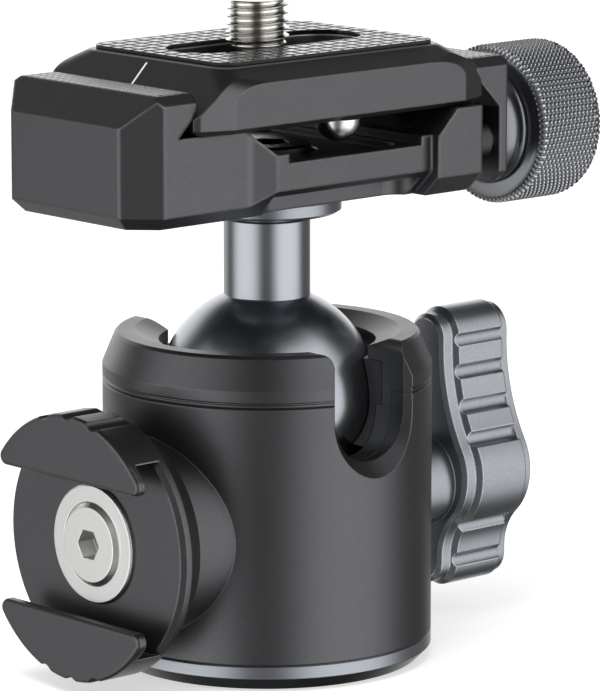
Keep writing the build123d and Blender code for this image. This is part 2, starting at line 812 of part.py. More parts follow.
# ----------------------------------------------------------------- lock lever
# Presser: wedge plunger that lifts the lower seat's cone.
tip_length = presser_radius - presser_tip_radius
with BuildPart() as presser:
    with BuildSketch(Plane.XZ):
        across(
            (presser_tip, 0),
            (presser_tip, presser_tip_radius),
            (presser_tip + tip_length, presser_radius),
            (presser_tail, presser_radius),
            (presser_tail, 0),
        )
    revolve(axis=cross_axis)
save(presser, "presser")

# Lever spindle: pushes the presser, turns in the bush.
with BuildPart() as lever_spindle:
    with BuildSketch(Plane.YZ.offset(presser_tail + fit_gap)):
        with Locations((0, cross_height)):
            Circle(lever_spindle_radius)
    extrude(amount=lever_outer_face - lever_cap_depth - lever_cap_shank - presser_tail)
save(lever_spindle, "lever_spindle")


def wing(inset):
    """Lever outline in the active sketch: a round waist and two round-ended arms, blended."""
    waist = lever_waist_radius - inset
    waist_height = cross_height + lever_waist_rise
    upper_end = cross_height + lever_upper_reach - lever_upper_half
    lower_end = cross_height - lever_lower_reach + lever_lower_half
    with Locations((0, waist_height)):
        Circle(waist)
    for half, blend, end in ((lever_upper_half - inset, lever_upper_blend + inset, upper_end),
                             (lever_lower_half - inset, lever_lower_blend + inset, lower_end)):
        side = 1 if end > waist_height else -1
        aside = half + blend
        start = waist_height + side * sqrt((waist + blend) ** 2 - aside ** 2)
        touch = waist / (waist + blend)
        touch_y = aside * touch
        touch_z = waist_height + (start - waist_height) * touch
        outline((-half, end), (-half, start), (-touch_y, touch_z), (touch_y, touch_z),
                (half, start), (half, end))
        with Locations((-aside, start), (aside, start)):
            Circle(blend, mode=Mode.SUBTRACT)
        with Locations((0, end)):
            Circle(half)


# Lever arm: wing lever with a bevelled step inside, a flange outside and grooves across
# its grip, which run out in the bevel.
with BuildPart() as lever_arm:
    with BuildSketch(Plane.YZ.offset(lever_core_start - lever_step_inset)):
        wing(0)
    extrude(amount=lever_core_end - lever_core_start + lever_step_inset)
    chamfer(lever_arm.faces().sort_by(Axis.X)[0].edges(), lever_step_inset)
    with BuildSketch(Plane.YZ.offset(lever_core_start - lever_step_inset)):
        for half, height in lever_grooves:
            with Locations((-half, cross_height + height), (half, cross_height + height)):
                Circle(lever_groove_radius)
    extrude(amount=lever_width, mode=Mode.SUBTRACT)
    with BuildSketch(Plane.YZ.offset(lever_inner_face)):
        wing(lever_step_inset)
    extrude(amount=lever_step)
    chamfer(lever_arm.faces().sort_by(Axis.X)[0].edges(), lever_step_bevel)
    with BuildSketch(Plane.YZ.offset(lever_core_end)):
        wing(lever_flange_inset)
    extrude(amount=lever_flange)
    chamfer(lever_arm.faces().sort_by(Axis.X)[-1].edges(), lever_rim_bevel)
    with BuildSketch(Plane.YZ.offset(lever_hub_start)):
        with Locations((0, cross_height)):
            Circle(lever_hub_radius)
    extrude(amount=lever_inner_face - lever_hub_start + lever_step_bevel)
    with BuildSketch(Plane.YZ.offset(lever_hub_start)):
        with Locations((0, cross_height)):
            Circle(lever_spindle_radius)
    extrude(amount=lever_outer_face, mode=Mode.SUBTRACT)
    with BuildSketch(Plane.YZ.offset(lever_outer_face - lever_cap_depth)):
        with Locations((0, cross_height)):
            Circle(lever_cap_radius + lever_cap_rim + fit_gap)
    extrude(amount=lever_cap_depth + clear_cut, mode=Mode.SUBTRACT)
save(lever_arm, "lever_arm")

# Lever cap screw: holds the lever on the spindle.
with BuildPart() as lever_cap_screw:
    with BuildSketch(Plane.YZ.offset(lever_outer_face - lever_cap_depth)):
        with Locations((0, cross_height)):
            Circle(lever_cap_radius + lever_cap_rim)
    extrude(amount=lever_cap_depth - lever_cap_sink)
    with BuildSketch(Plane.YZ.offset(lever_outer_face - lever_cap_depth)):
        with Locations((0, cross_height)):
            Circle(lever_cap_radius)
    extrude(amount=free_gap - lever_cap_shank)
    with BuildSketch(Plane.YZ.offset(lever_outer_face - lever_cap_sink)):
        with Locations((0, cross_height)):
            RegularPolygon(lever_hex / 2, 6, major_radius=False)
    extrude(amount=-hex_depth, mode=Mode.SUBTRACT)
save(lever_cap_screw, "lever_cap_screw")

# ---------------------------------------------------------------------- clamp
# Clamp body: milled block with the fixed jaw, a pocket across it and a round-cornered
# relief under each beam.
with BuildPart() as clamp_body:
    with BuildSketch(Plane.XY.offset(clamp_bottom)) as clamp_plan:
        half_plan = [
            (fixed_jaw_face, jaw_half_length - jaw_corner),
            (fixed_jaw_face + jaw_corner, jaw_half_length),
            (-shoulder_end, jaw_half_length),
            (-beam_end, beam_half_length),
            (block_start, beam_half_length),
            (block_start, block_half_length),
            (block_end, block_half_length),
        ]
        outline(*half_plan, *[(x, -y) for x, y in reversed(half_plan)])
        corners = clamp_plan.vertices().sort_by(Axis.X)
        fillet(corners[0:4], jaw_edge_round)
        fillet(near(clamp_plan, -shoulder_end), shoulder_round)
        fillet(near(clamp_plan, -beam_end), beam_edge_round)
    extrude(amount=jaw_top - clamp_bottom)
    with BuildSketch(Plane.XZ):
        # groove for the plate, with the fixed jaw's undercut lip
        outline(
            (fixed_lip, jaw_top + clear_cut),
            (fixed_lip, lip_tip),
            (fixed_lip - lip_tip + clamp_floor, clamp_floor),
            (block_end + clear_cut, clamp_floor),
            (block_end + clear_cut, jaw_top + clear_cut),
        )
        # outer bevels of the fixed jaw
        outline(
            (fixed_jaw_face - clear_cut, jaw_top + clear_cut),
            (fixed_jaw_face - clear_cut, jaw_top - jaw_top_bevel - clear_cut),
            (fixed_jaw_face, jaw_top - jaw_top_bevel),
            (fixed_jaw_face + jaw_top_bevel + clear_cut, jaw_top + clear_cut),
        )
        outline(
            (fixed_jaw_face - clear_cut, clamp_bottom - clear_cut),
            (fixed_jaw_face - clear_cut, clamp_bottom + jaw_bottom_bevel + clear_cut),
            (fixed_jaw_face + jaw_bottom_bevel + clear_cut, clamp_bottom - clear_cut),
        )
        # pocket across the body
        outline(
            (-shoulder_end - pocket_run, clamp_floor),
            (-beam_end, web_top),
            (pocket_start, web_top),
            (pocket_start, pocket_floor),
            (pocket_end, pocket_floor),
            (pocket_end, web_top),
            (block_start, web_top),
            (block_start + clamp_floor - web_top, clamp_floor),
        )
    extrude(amount=block_half_length + clear_cut, both=True, mode=Mode.SUBTRACT)
    # bevels along the sides: at the bottom of jaw and beams, and at the jaw's top
    with BuildSketch(Plane.YZ.offset(fixed_jaw_face - clear_cut)):
        for side in (-1, 1):
            side_bevel(side * jaw_half_length, clamp_bottom, side, jaw_bottom_bevel)
    extrude(amount=block_start - fixed_jaw_face + clear_cut, mode=Mode.SUBTRACT)
    with BuildSketch(Plane.YZ.offset(fixed_jaw_face - clear_cut)):
        for side in (-1, 1):
            side_bevel(side * jaw_half_length, jaw_top, side, -jaw_end_bevel)
    extrude(amount=jaw_thickness + 2 * clear_cut, mode=Mode.SUBTRACT)
    with BuildSketch(Plane.YZ.offset(block_start)):
        for side in (-1, 1):
            side_bevel(side * block_half_length, clamp_bottom, side, block_bevel)
    extrude(amount=block_end, mode=Mode.SUBTRACT)
    facet_bevels(fixed_jaw_face, -1)
    # relief under each beam, with round corners
    relief_depth = block_half_length - platform_half_width
    with BuildSketch(Plane.XY.offset(clamp_bottom)):
        for side in (-1, 1):
            with Locations((0, side * (platform_half_width + relief_depth / 2))):
                RectangleRounded(2 * beam_end, relief_depth, platform_corner - fit_gap)
            with Locations((0, side * block_half_length)):
                Rectangle(2 * beam_end, relief_depth)
    extrude(amount=beam_rise, mode=Mode.SUBTRACT)
    # bevel along each beam's lower edge
    with BuildSketch(Plane.YZ.offset(-beam_end)):
        for side in (-1, 1):
            side_bevel(side * beam_half_length, beam_underside, side, beam_bevel)
    extrude(amount=block_start + beam_end, mode=Mode.SUBTRACT)
    # deeper middle of the pocket and the seat of the clamp screw
    with BuildSketch(Plane.XY.offset(pocket_floor)):
        with Locations(((pocket_start + pocket_end) / 2, 0)):
            RectangleRounded(pocket_end - pocket_start - pocket_rim,
                             2 * (beam_half_length - pocket_rim), pocket_corner)
    extrude(amount=-pocket_depth, mode=Mode.SUBTRACT)
    with Locations((0, 0, clamp_counterbore)):
        Cylinder(clamp_screw_head + clamp_screw_head_gap, jaw_top, mode=Mode.SUBTRACT,
                 align=(Align.CENTER, Align.CENTER, Align.MIN))
    with Locations((0, 0, clamp_bottom)):
        Cylinder(clamp_screw_radius + fit_gap, jaw_top, mode=Mode.SUBTRACT,
                 align=(Align.CENTER, Align.CENTER, Align.MIN))
    # bores for the knob's spindle and the two guide bushes
    with BuildSketch(Plane.YZ.offset(knob_bore_start)):
        with Locations((0, knob_height)):
            Circle(knob_spindle_radius + fit_gap)
    extrude(amount=block_end, mode=Mode.SUBTRACT)
    with BuildSketch(Plane.YZ.offset(guide_bush_start)):
        with Locations((-guide_spacing / 2, guide_height), (guide_spacing / 2, guide_height)):
            Circle(guide_bush_radius)
    extrude(amount=block_end, mode=Mode.SUBTRACT)
save(clamp_body, "clamp_body")

# Guide bushes: pressed into the body, they carry the moving jaw's pins.
with BuildPart() as guide_bushes:
    with BuildSketch(Plane.YZ.offset(guide_bush_start)):
        with Locations((-guide_spacing / 2, guide_height), (guide_spacing / 2, guide_height)):
            Circle(guide_bush_radius)
            Circle(guide_pin_radius + fit_gap, mode=Mode.SUBTRACT)
    extrude(amount=guide_bush_end - guide_bush_start)
save(guide_bushes, "guide_bushes")

# Jaw spring: opens the jaw when the knob is turned back.
with BuildPart() as jaw_spring:
    coil(jaw_spring_radius, jaw_spring_wire, jaw_spring_turns,
         moving_jaw_inner - clip_thickness - 2 * fit_gap - block_end,
         (block_end, 0, knob_height), (1, 0, 0))
save(jaw_spring, "jaw_spring")

# Moving jaw: upright plate with an overhanging lip, mirrors the fixed jaw.
with BuildPart() as moving_jaw:
    with BuildSketch(Plane.XZ):
        outline(
            (moving_jaw_inner, clamp_bottom),
            (moving_jaw_face - jaw_bottom_bevel, clamp_bottom),
            (moving_jaw_face, clamp_bottom + jaw_bottom_bevel),
            (moving_jaw_face, jaw_top - jaw_top_bevel),
            (moving_jaw_face - jaw_top_bevel, jaw_top),
            (moving_lip, jaw_top),
            (moving_lip, lip_tip),
            (moving_jaw_inner, lip_tip - moving_jaw_inner + moving_lip),
        )
    extrude(amount=jaw_half_length, both=True)
    with BuildSketch(Plane.XY.offset(clamp_bottom)):
        for side in (-1, 1):
            outline(
                (moving_jaw_face - jaw_corner - clear_cut, side * (jaw_half_length + clear_cut)),
                (moving_jaw_face + clear_cut, side * (jaw_half_length - jaw_corner - clear_cut)),
                (moving_jaw_face + clear_cut, side * (jaw_half_length + clear_cut)),
            )
    extrude(amount=jaw_top - clamp_bottom, mode=Mode.SUBTRACT)
    with BuildSketch(Plane.YZ.offset(moving_lip - clear_cut)):
        for side in (-1, 1):
            side_bevel(side * jaw_half_length, jaw_top, side, -jaw_end_bevel)
            side_bevel(side * jaw_half_length, clamp_bottom, side, jaw_bottom_bevel)
    extrude(amount=moving_jaw_face, mode=Mode.SUBTRACT)
    facet_bevels(moving_jaw_face, 1)
    with BuildSketch(Plane.YZ.offset(moving_jaw_inner)):
        with Locations((0, knob_height)):
            Circle(knob_spindle_radius + fit_gap)
    extrude(amount=moving_jaw_face, mode=Mode.SUBTRACT)
    with BuildSketch(Plane.YZ.offset(moving_jaw_inner)):
        with Locations((-guide_spacing / 2, guide_height), (guide_spacing / 2, guide_height)):
            Circle(guide_pin_radius)
    extrude(amount=guide_pin_end - moving_jaw_inner, mode=Mode.SUBTRACT)
save(moving_jaw, "moving_jaw")

# Guide pins: pressed into the moving jaw, slide in the bushes.
with BuildPart() as guide_pins:
    with BuildSketch(Plane.YZ.offset(guide_pin_start)):
        with Locations((-guide_spacing / 2, guide_height), (guide_spacing / 2, guide_height)):
            Circle(guide_pin_radius)
    extrude(amount=guide_pin_length)
save(guide_pins, "guide_pins")

# ----------------------------------------------------------------------- knob
# Knob spindle: its thread draws the moving jaw towards the fixed one.
with BuildPart() as knob_spindle:
    with BuildSketch(Plane.YZ.offset(knob_spindle_start)):
        with Locations((0, knob_height)):
            Circle(knob_spindle_radius)
    extrude(amount=knob_seat - knob_spindle_start)
save(knob_spindle, "knob_spindle")

# Knob clip: retaining ring on the spindle, just inside the moving jaw.
with BuildPart() as knob_clip:
    with BuildSketch(Plane.YZ.offset(moving_jaw_inner - clip_thickness - fit_gap)):
        with Locations((0, knob_height)):
            Circle(clip_radius)
            Circle(knob_spindle_radius, mode=Mode.SUBTRACT)
            with Locations((0, clip_radius)):
                Rectangle(clip_mouth, 2 * (clip_radius - clip_thickness * 2), mode=Mode.SUBTRACT)
    extrude(amount=clip_thickness)
save(knob_clip, "knob_clip")

# Knob washer: between the moving jaw and the knob's hub.
with BuildPart() as knob_washer:
    with BuildSketch(Plane.YZ.offset(moving_jaw_face + fit_gap)):
        with Locations((0, knob_height)):
            Circle(knob_washer_radius)
            Circle(knob_spindle_radius, mode=Mode.SUBTRACT)
    extrude(amount=knob_washer_thickness)
save(knob_washer, "knob_washer")

# Knob grip: the body under the knurl, with a bright bead round its inner face.
with BuildPart() as knob_grip:
    with BuildSketch(Plane.XZ):
        about_knob(
            (hub_start, knob_spindle_radius),
            (hub_start, knob_hub_radius - 2 * edge_break),
            (hub_start + 2 * edge_break, knob_hub_radius),
            (knob_face - knob_ring_height, knob_hub_radius),
            (knob_face - knob_ring_height, knob_ring_radius - edge_break),
            (knob_face - knob_ring_height + edge_break, knob_ring_radius),
            (knob_face, knob_ring_radius),
            (knob_face, knob_radius - knob_back_bevel),
            (knob_face + knob_back_bevel, knob_radius),
            (knob_end, knob_radius),
            (knob_end, knob_recess_radius),
            (knob_floor, knob_recess_radius),
            (knob_floor, knob_screw_head),
            (knob_seat, knob_screw_head),
            (knob_seat, knob_spindle_radius),
        )
    revolve(axis=knob_axis)
    rim = [e for e in knob_grip.edges().filter_by(GeomType.CIRCLE)
           if abs(e.radius - knob_radius) < fit_gap and e.center().X > knob_end - fit_gap]
    fillet(rim, knob_round)
save(knob_grip, "knob_grip")

# Knob screw: closes the knob's end and locks it to the spindle.
with BuildPart() as knob_screw:
    with BuildSketch(Plane.YZ.offset(knob_seat)):
        with Locations((0, knob_height)):
            Circle(knob_screw_head - fit_gap)
    extrude(amount=knob_screw_depth)
    with BuildSketch(Plane.YZ.offset(knob_floor)):
        with Locations((0, knob_height)):
            RegularPolygon(knob_hex / 2, 6, major_radius=False)
    extrude(amount=-hex_depth, mode=Mode.SUBTRACT)
save(knob_screw, "knob_screw")

# ---------------------------------------------------------------------- plate
# Plate: dovetail plate with a long slot and a wider recess under it.
with BuildPart() as plate:
    with BuildSketch(Plane.XY.offset(plate_bottom)):
        with Locations((plate_centre_x, 0)):
            quarter = [
                (plate_flat_half, plate_half_length),
                (plate_half_width - plate_tip_corner, plate_half_length - plate_corner_drop),
                (plate_half_width, plate_half_length - plate_corner_drop - plate_tip_corner),
            ]
            outline(
                *quarter,
                *[(x, -y) for x, y in reversed(quarter)],
                *[(-x, -y) for x, y in quarter],
                *[(-x, y) for x, y in reversed(quarter)],
            )
    extrude(amount=plate_thickness)
    chamfer(plate.faces().sort_by(Axis.Z)[0].edges(), plate_bottom_bevel)
    # 45 degree dovetail slopes along both sides
    with BuildSketch(Plane.XZ):
        for side in (-1, 1):
            outline(
                (plate_centre_x + side * (plate_half_width + clear_cut), plate_tip_top - clear_cut),
                (plate_centre_x + side * (plate_top_half - clear_cut), plate_top + clear_cut),
                (plate_centre_x + side * (plate_half_width + clear_cut), plate_top + clear_cut),
            )
    extrude(amount=plate_half_length + clear_cut, both=True, mode=Mode.SUBTRACT)
    # shallow bevels along the two ends, rounded into the slopes
    bevel_rise = plate_front_drop / plate_bevel_depth * clear_cut
    with BuildSketch(Plane.YZ.offset(plate_centre_x)):
        for side in (-1, 1):
            outline(
                (side * (plate_half_length + clear_cut), plate_front_edge - bevel_rise),
                (side * (plate_half_length - plate_bevel_depth - clear_cut), plate_top + bevel_rise),
                (side * (plate_half_length + clear_cut), plate_top + bevel_rise),
            )
    extrude(amount=plate_half_width + clear_cut, both=True, mode=Mode.SUBTRACT)
    mitres = [e for e in plate.edges() if e.center().Z > plate_front_edge
              and min(abs(e.tangent_at(0).X), abs(e.tangent_at(0).Y), abs(e.tangent_at(0).Z)) > 0.1]
    fillet(mitres, plate_bevel_round)
    with BuildSketch(Plane.XY.offset(plate_bottom)):
        with Locations((plate_centre_x, 0)):
            SlotOverall(recess_length, recess_width)
    extrude(amount=plate_thickness - slot_ledge, mode=Mode.SUBTRACT)
    with BuildSketch(Plane.XY.offset(plate_bottom)):
        with Locations((plate_centre_x, 0)):
            SlotOverall(slot_length, slot_width)
    extrude(amount=plate_top, mode=Mode.SUBTRACT)
    with BuildSketch(Plane.XY.offset(plate_bottom)):
        with Locations((plate_centre_x, -stud_y), (plate_centre_x, stud_y)):
            Circle(stud_shank_radius)
    extrude(amount=stud_shank + stud_tip_gap, mode=Mode.SUBTRACT)
save(plate, "plate")

# Pad: rubber facing on the plate.
with BuildPart() as plate_pad:
    with BuildSketch(Plane.XY.offset(plate_top)):
        with Locations((plate_centre_x, 0)):
            RectangleRounded(2 * pad_half_width, 2 * pad_half_length, pad_corner)
            SlotOverall(slot_length + 2 * slot_step, slot_width + 2 * slot_step,
                        mode=Mode.SUBTRACT)
    extrude(amount=pad_thickness)
save(plate_pad, "plate_pad")

# Safety studs: domed steel screws under the plate's two ends.
dome_radius = (stud_radius ** 2 + stud_drop ** 2) / (2 * stud_drop)
with BuildPart() as safety_studs:
    with Locations((plate_centre_x, -stud_y, plate_bottom), (plate_centre_x, stud_y, plate_bottom)):
        Cylinder(stud_shank_radius, stud_shank, align=(Align.CENTER, Align.CENTER, Align.MIN))
    for side in (-1, 1):
        with BuildSketch(Plane.XZ.offset(-side * stud_y)):
            with Locations((plate_centre_x, plate_bottom - stud_drop + dome_radius)):
                Circle(dome_radius)
            with Locations((plate_centre_x, plate_bottom)):
                Rectangle(dome_radius, stud_drop, align=(Align.MIN, Align.MAX),
                          mode=Mode.INTERSECT)
        revolve(axis=Axis((plate_centre_x, side * stud_y, 0), (0, 0, 1)))
save(safety_studs, "safety_studs")

# Screw carriage: slotted washer on the screw's neck that keeps it in the plate and
# slides along the slot.
with BuildPart() as screw_carriage:
    with BuildSketch(Plane.XY.offset(ledge_height - free_gap - carriage_thickness)):
        with Locations((camera_screw_x, 0)):
            Circle(carriage_radius)
            Circle(camera_neck_radius + fit_gap, mode=Mode.SUBTRACT)
            Rectangle(carriage_radius, carriage_mouth, mode=Mode.SUBTRACT,
                      align=(Align.MIN, Align.CENTER))
    extrude(amount=carriage_thickness)
save(screw_carriage, "screw_carriage")

# Camera screw: broad slotted head, slim neck through the plate, threaded end above the pad.
with BuildPart() as camera_screw:
    with Locations((camera_screw_x, 0, camera_head_bottom)):
        Cylinder(camera_head_radius, camera_head_height,
                 align=(Align.CENTER, Align.CENTER, Align.MIN))
        Cylinder(camera_neck_radius, camera_screw_top - camera_head_bottom,
                 align=(Align.CENTER, Align.CENTER, Align.MIN))
    with Locations((camera_screw_x, 0, pad_top)):
        Cylinder(camera_radius, camera_screw_reach,
                 align=(Align.CENTER, Align.CENTER, Align.MIN))
    chamfer(camera_screw.edges().filter_by(GeomType.CIRCLE).sort_by(Axis.Z)[-1],
            camera_screw_chamfer)
    with BuildSketch(Plane.XY.offset(camera_head_bottom)):
        with Locations((camera_screw_x, 0)):
            RegularPolygon(camera_hex / 2, 6, major_radius=False)
            Rectangle(2 * camera_head_radius + clear_cut, coin_slot)
    extrude(amount=hex_depth, mode=Mode.SUBTRACT)
save(camera_screw, "camera_screw")
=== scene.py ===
import math

import bpy
import numpy as np
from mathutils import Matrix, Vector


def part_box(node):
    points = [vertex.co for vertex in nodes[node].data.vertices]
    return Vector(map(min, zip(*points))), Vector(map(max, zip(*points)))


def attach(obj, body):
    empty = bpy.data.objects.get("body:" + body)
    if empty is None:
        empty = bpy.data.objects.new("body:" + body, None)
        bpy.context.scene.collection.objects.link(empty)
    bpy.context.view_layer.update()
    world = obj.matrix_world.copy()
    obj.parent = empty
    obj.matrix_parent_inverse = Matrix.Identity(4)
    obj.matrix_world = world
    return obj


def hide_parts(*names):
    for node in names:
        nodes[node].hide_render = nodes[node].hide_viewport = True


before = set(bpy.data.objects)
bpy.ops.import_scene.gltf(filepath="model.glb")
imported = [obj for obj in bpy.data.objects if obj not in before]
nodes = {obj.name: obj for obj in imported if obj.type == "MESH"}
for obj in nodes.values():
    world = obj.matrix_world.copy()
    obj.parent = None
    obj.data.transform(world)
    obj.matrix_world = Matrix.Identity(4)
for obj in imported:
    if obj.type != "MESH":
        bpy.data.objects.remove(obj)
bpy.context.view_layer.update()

# ---------------------------------------------------------------- the housing
# A turned aluminium cup with its screwed-on top ring, blasted and anodised black.
# Blasting leaves a fine pebbled skin; the paler line at edges is scuffed anodising together with a
# painted highlight.
VECTOR, FLOAT = "NodeSocketVector", "NodeSocketFloat"


def effect(name, inputs, outputs):
    """An empty shader node group with the named inputs (name, kind, value) and outputs (name, kind)."""
    group = bpy.data.node_groups.new(name, "ShaderNodeTree")
    for label, kind, value in inputs:
        socket = group.interface.new_socket(label, in_out="INPUT", socket_type=kind)
        if value is not None:
            socket.default_value = value
    for label, kind in outputs:
        group.interface.new_socket(label, in_out="OUTPUT", socket_type=kind)
    return group, group.nodes.new("NodeGroupInput"), group.nodes.new("NodeGroupOutput")


def join(tree, node, links):
    """Links or sets the node's inputs from (input, source or value) pairs, and gives the node back."""
    for key, source in links:
        if isinstance(source, bpy.types.NodeSocket):
            tree.links.new(source, node.inputs[key])
        else:
            node.inputs[key].default_value = source
    return node


def add(tree, kind, links=(), **settings):
    """One new node in the tree: settings are its properties, links go to join."""
    node = tree.nodes.new(kind)
    for key, value in settings.items():
        setattr(node, key, value)
    return join(tree, node, links)


def reckon(tree, operation, *values):
    """The result socket of one Math node over the given sockets or numbers."""
    return add(tree, "ShaderNodeMath", list(enumerate(values)), operation=operation).outputs[0]


def spread(tree, value, low, high, to_low=0.0, to_high=1.0):
    """A smooth step of value from low to high, given out as to_low to to_high."""
    return add(tree, "ShaderNodeMapRange", [("Value", value), ("From Min", low), ("From Max", high),
                                            ("To Min", to_low), ("To Max", to_high)],
               interpolation_type="SMOOTHSTEP").outputs["Result"]


def coordinate(tree, place, axis):
    """One coordinate of a place: "X", "Y" or "Z"."""
    return add(tree, "ShaderNodeSeparateXYZ", [(0, place)]).outputs[axis]


# Blasted skin: small pebbles of two sizes, and a slow drift in gloss from the dye bath.
blasted_skin, skin_in, skin_out = effect(
    "blasted_skin", [("Place", VECTOR, None), ("Pebbles per mm", FLOAT, 4.0)],
    [("Height", FLOAT), ("Tone", FLOAT), ("Sheen drift", FLOAT)])
skin_scale = reckon(blasted_skin, "MULTIPLY", skin_in.outputs["Pebbles per mm"], 1000.0)
pebbles = add(blasted_skin, "ShaderNodeTexNoise", [
    ("Vector", skin_in.outputs["Place"]), ("Scale", skin_scale),
    ("Detail", 2.0), ("Roughness", 0.6)]).outputs["Fac"]
drift = add(blasted_skin, "ShaderNodeTexNoise", [
    ("Vector", skin_in.outputs["Place"]), ("Scale", 140.0),
    ("Detail", 3.0), ("Roughness", 0.55)]).outputs["Fac"]
join(blasted_skin, skin_out, [
    ("Height", pebbles), ("Tone", spread(blasted_skin, pebbles, 0.3, 0.7, 0.92, 1.08)),
    ("Sheen drift", spread(blasted_skin, drift, 0.3, 0.7, -0.015, 0.015))])

# Broken edge: the rounded normal at every corner, and a mask that is 1 on the corner itself,
# where the rounded normal leans away from the face's own, and lower where it is less scuffed.
# Materials lay a paler colour on this mask, which is scuffed anodising and a painted highlight together.
broken_edge, edge_in, edge_out = effect(
    "broken_edge", [("Radius", FLOAT, 0.0001), ("Place", VECTOR, None)],
    [("Normal", VECTOR), ("Edge", FLOAT)])
rounded = add(broken_edge, "ShaderNodeBevel", [("Radius", edge_in.outputs["Radius"])],
              samples=6).outputs[0]
facing = add(broken_edge, "ShaderNodeNewGeometry").outputs["Normal"]
lean = add(broken_edge, "ShaderNodeVectorMath", [(0, rounded), (1, facing)],
           operation="DOT_PRODUCT").outputs["Value"]
scuff = add(broken_edge, "ShaderNodeTexNoise", [
    ("Vector", edge_in.outputs["Place"]), ("Scale", 900.0), ("Detail", 3.0)]).outputs["Fac"]
edge_wear_and_highlight = reckon(broken_edge, "MULTIPLY", spread(broken_edge, lean, 0.99, 0.86),
                   spread(broken_edge, scuff, 0.25, 0.6, 0.55, 1.0))
join(broken_edge, edge_out, [("Normal", rounded), ("Edge", edge_wear_and_highlight)])


def new_finish(name, metallic):
    """A material, its node tree, its Principled shader and its Object coordinates."""
    material = bpy.data.materials.new(name)
    material.use_nodes = True
    tree = material.node_tree
    shader = tree.nodes["Principled BSDF"]
    shader.inputs["Metallic"].default_value = metallic
    return material, tree, shader, add(tree, "ShaderNodeTexCoord").outputs["Object"]


def effect_on(tree, place, group, values):
    """The outputs of an effect's group, placed in a material with its own values."""
    return add(tree, "ShaderNodeGroup", [("Place", place), *values], node_tree=group).outputs


def toned(tree, colour, tone):
    """A colour times a tone that changes over the surface."""
    return add(tree, "ShaderNodeVectorMath", [(0, colour), ("Scale", tone)],
               operation="SCALE").outputs["Vector"]


def laid_over(tree, mask, under, paint):
    """The colour under, with paint laid over it where the mask is 1."""
    return add(tree, "ShaderNodeMix", [("Factor", mask), ("A", under), ("B", (*paint, 1.0))],
               data_type="RGBA").outputs["Result"]


def raised(tree, height, depth, *under):
    """The normal of a height of this depth in metres, over the normal under it if one is given."""
    links = [("Height", height), ("Strength", 1.0), ("Distance", depth)]
    return add(tree, "ShaderNodeBump", links + [("Normal", n) for n in under]).outputs["Normal"]


def blasted_metal(name, colour, wear_and_highlight_colour, edge, roughness=0.36, pebbles_per_mm=6.5, depth=0.000008,
                  paint=None, wear_and_highlight_where=None):
    """Anodised, blasted metal: the colour times the skin's tone, paler and smoother on edges, where the
    paler colour is scuffed anodising and a painted highlight. paint(tree, place) may give a mask and a
    colour of paint on it, wear(tree, place) a mask of where edges take the paler colour."""
    metallic, smoother = 0.88, 0.06
    material, tree, shader, place = new_finish(name, metallic)
    skin = effect_on(tree, place, blasted_skin, [("Pebbles per mm", pebbles_per_mm)])
    corner = effect_on(tree, place, broken_edge, [("Radius", edge)])
    wear_and_highlight_here = corner["Edge"]
    if wear_and_highlight_where:
        wear_and_highlight_here = reckon(tree, "MULTIPLY", wear_and_highlight_here, wear_and_highlight_where(tree, place))
    # Paler colour on edges: scuffed anodising and a painted highlight.
    tint = laid_over(tree, wear_and_highlight_here, toned(tree, colour, skin["Tone"]), wear_and_highlight_colour)
    rough = reckon(tree, "ADD", skin["Sheen drift"], roughness)
    rough = reckon(tree, "SUBTRACT", rough, reckon(tree, "MULTIPLY", wear_and_highlight_here, smoother))
    if paint:
        mask, paint_colour = paint(tree, place)
        tint = laid_over(tree, mask, tint, paint_colour)
        join(tree, shader, [("Metallic", spread(tree, mask, 0.0, 1.0, metallic, 0.0))])
    bump = raised(tree, skin["Height"], depth, corner["Normal"])
    join(tree, shader, [("Base Color", tint), ("Roughness", rough), ("Normal", bump)])
    return material


def finish(material, *names):
    """Gives CAD nodes this material in place of the plain one they came with."""
    for name in names:
        slots = nodes[name].data.materials
        for i in range(len(slots)):
            slots[i] = material


black = (0.085, 0.086, 0.090)
black_wear_and_highlight = (0.19, 0.193, 0.20)
notch_half_width, notch_floor = 0.0047, 0.017


def in_the_notch(tree, place):
    """1 outside the drop notches, falling to 0 between their walls, where edges get neither the paler
    scuffed colour nor the painted highlight.
    """
    across = reckon(tree, "ABSOLUTE", coordinate(tree, place, "X"))
    return reckon(tree, "MAXIMUM",
                  spread(tree, across, notch_half_width - 0.0001, notch_half_width + 0.0001),
                  spread(tree, coordinate(tree, place, "Z"), notch_floor + 0.0005, notch_floor - 0.0005))


black_housing = blasted_metal("black_blasted_housing", black, black_wear_and_highlight, edge=0.00014,
                              wear_and_highlight_where=in_the_notch)
finish(black_housing, "housing_shell", "top_ring")

# ------------------------------------------------------------------- the base
# A grey anodised disc, turned on its rim, screwed up into the cup with three black
# countersunk screws round the steel tripod bush.

# Turned lines: fine rings left by the cutting tool, by distance along and from an axis.
turned_lines, turned_in, turned_out = effect(
    "turned_lines", [("Place", VECTOR, None), ("Lines per mm", FLOAT, 6.0), ("Contrast", FLOAT, 0.1)],
    [("Height", FLOAT), ("Gleam", FLOAT)])
turned_place = turned_in.outputs["Place"]
turned_reach = reckon(turned_lines, "SQRT", reckon(
    turned_lines, "ADD", reckon(turned_lines, "POWER", coordinate(turned_lines, turned_place, "X"), 2.0),
    reckon(turned_lines, "POWER", coordinate(turned_lines, turned_place, "Y"), 2.0)))
turned_scale = reckon(turned_lines, "MULTIPLY", turned_in.outputs["Lines per mm"], 1000.0)
turned_where = add(turned_lines, "ShaderNodeCombineXYZ", [
    ("X", reckon(turned_lines, "MULTIPLY", turned_reach, turned_scale)),
    ("Y", reckon(turned_lines, "MULTIPLY", coordinate(turned_lines, turned_place, "Z"), turned_scale))])
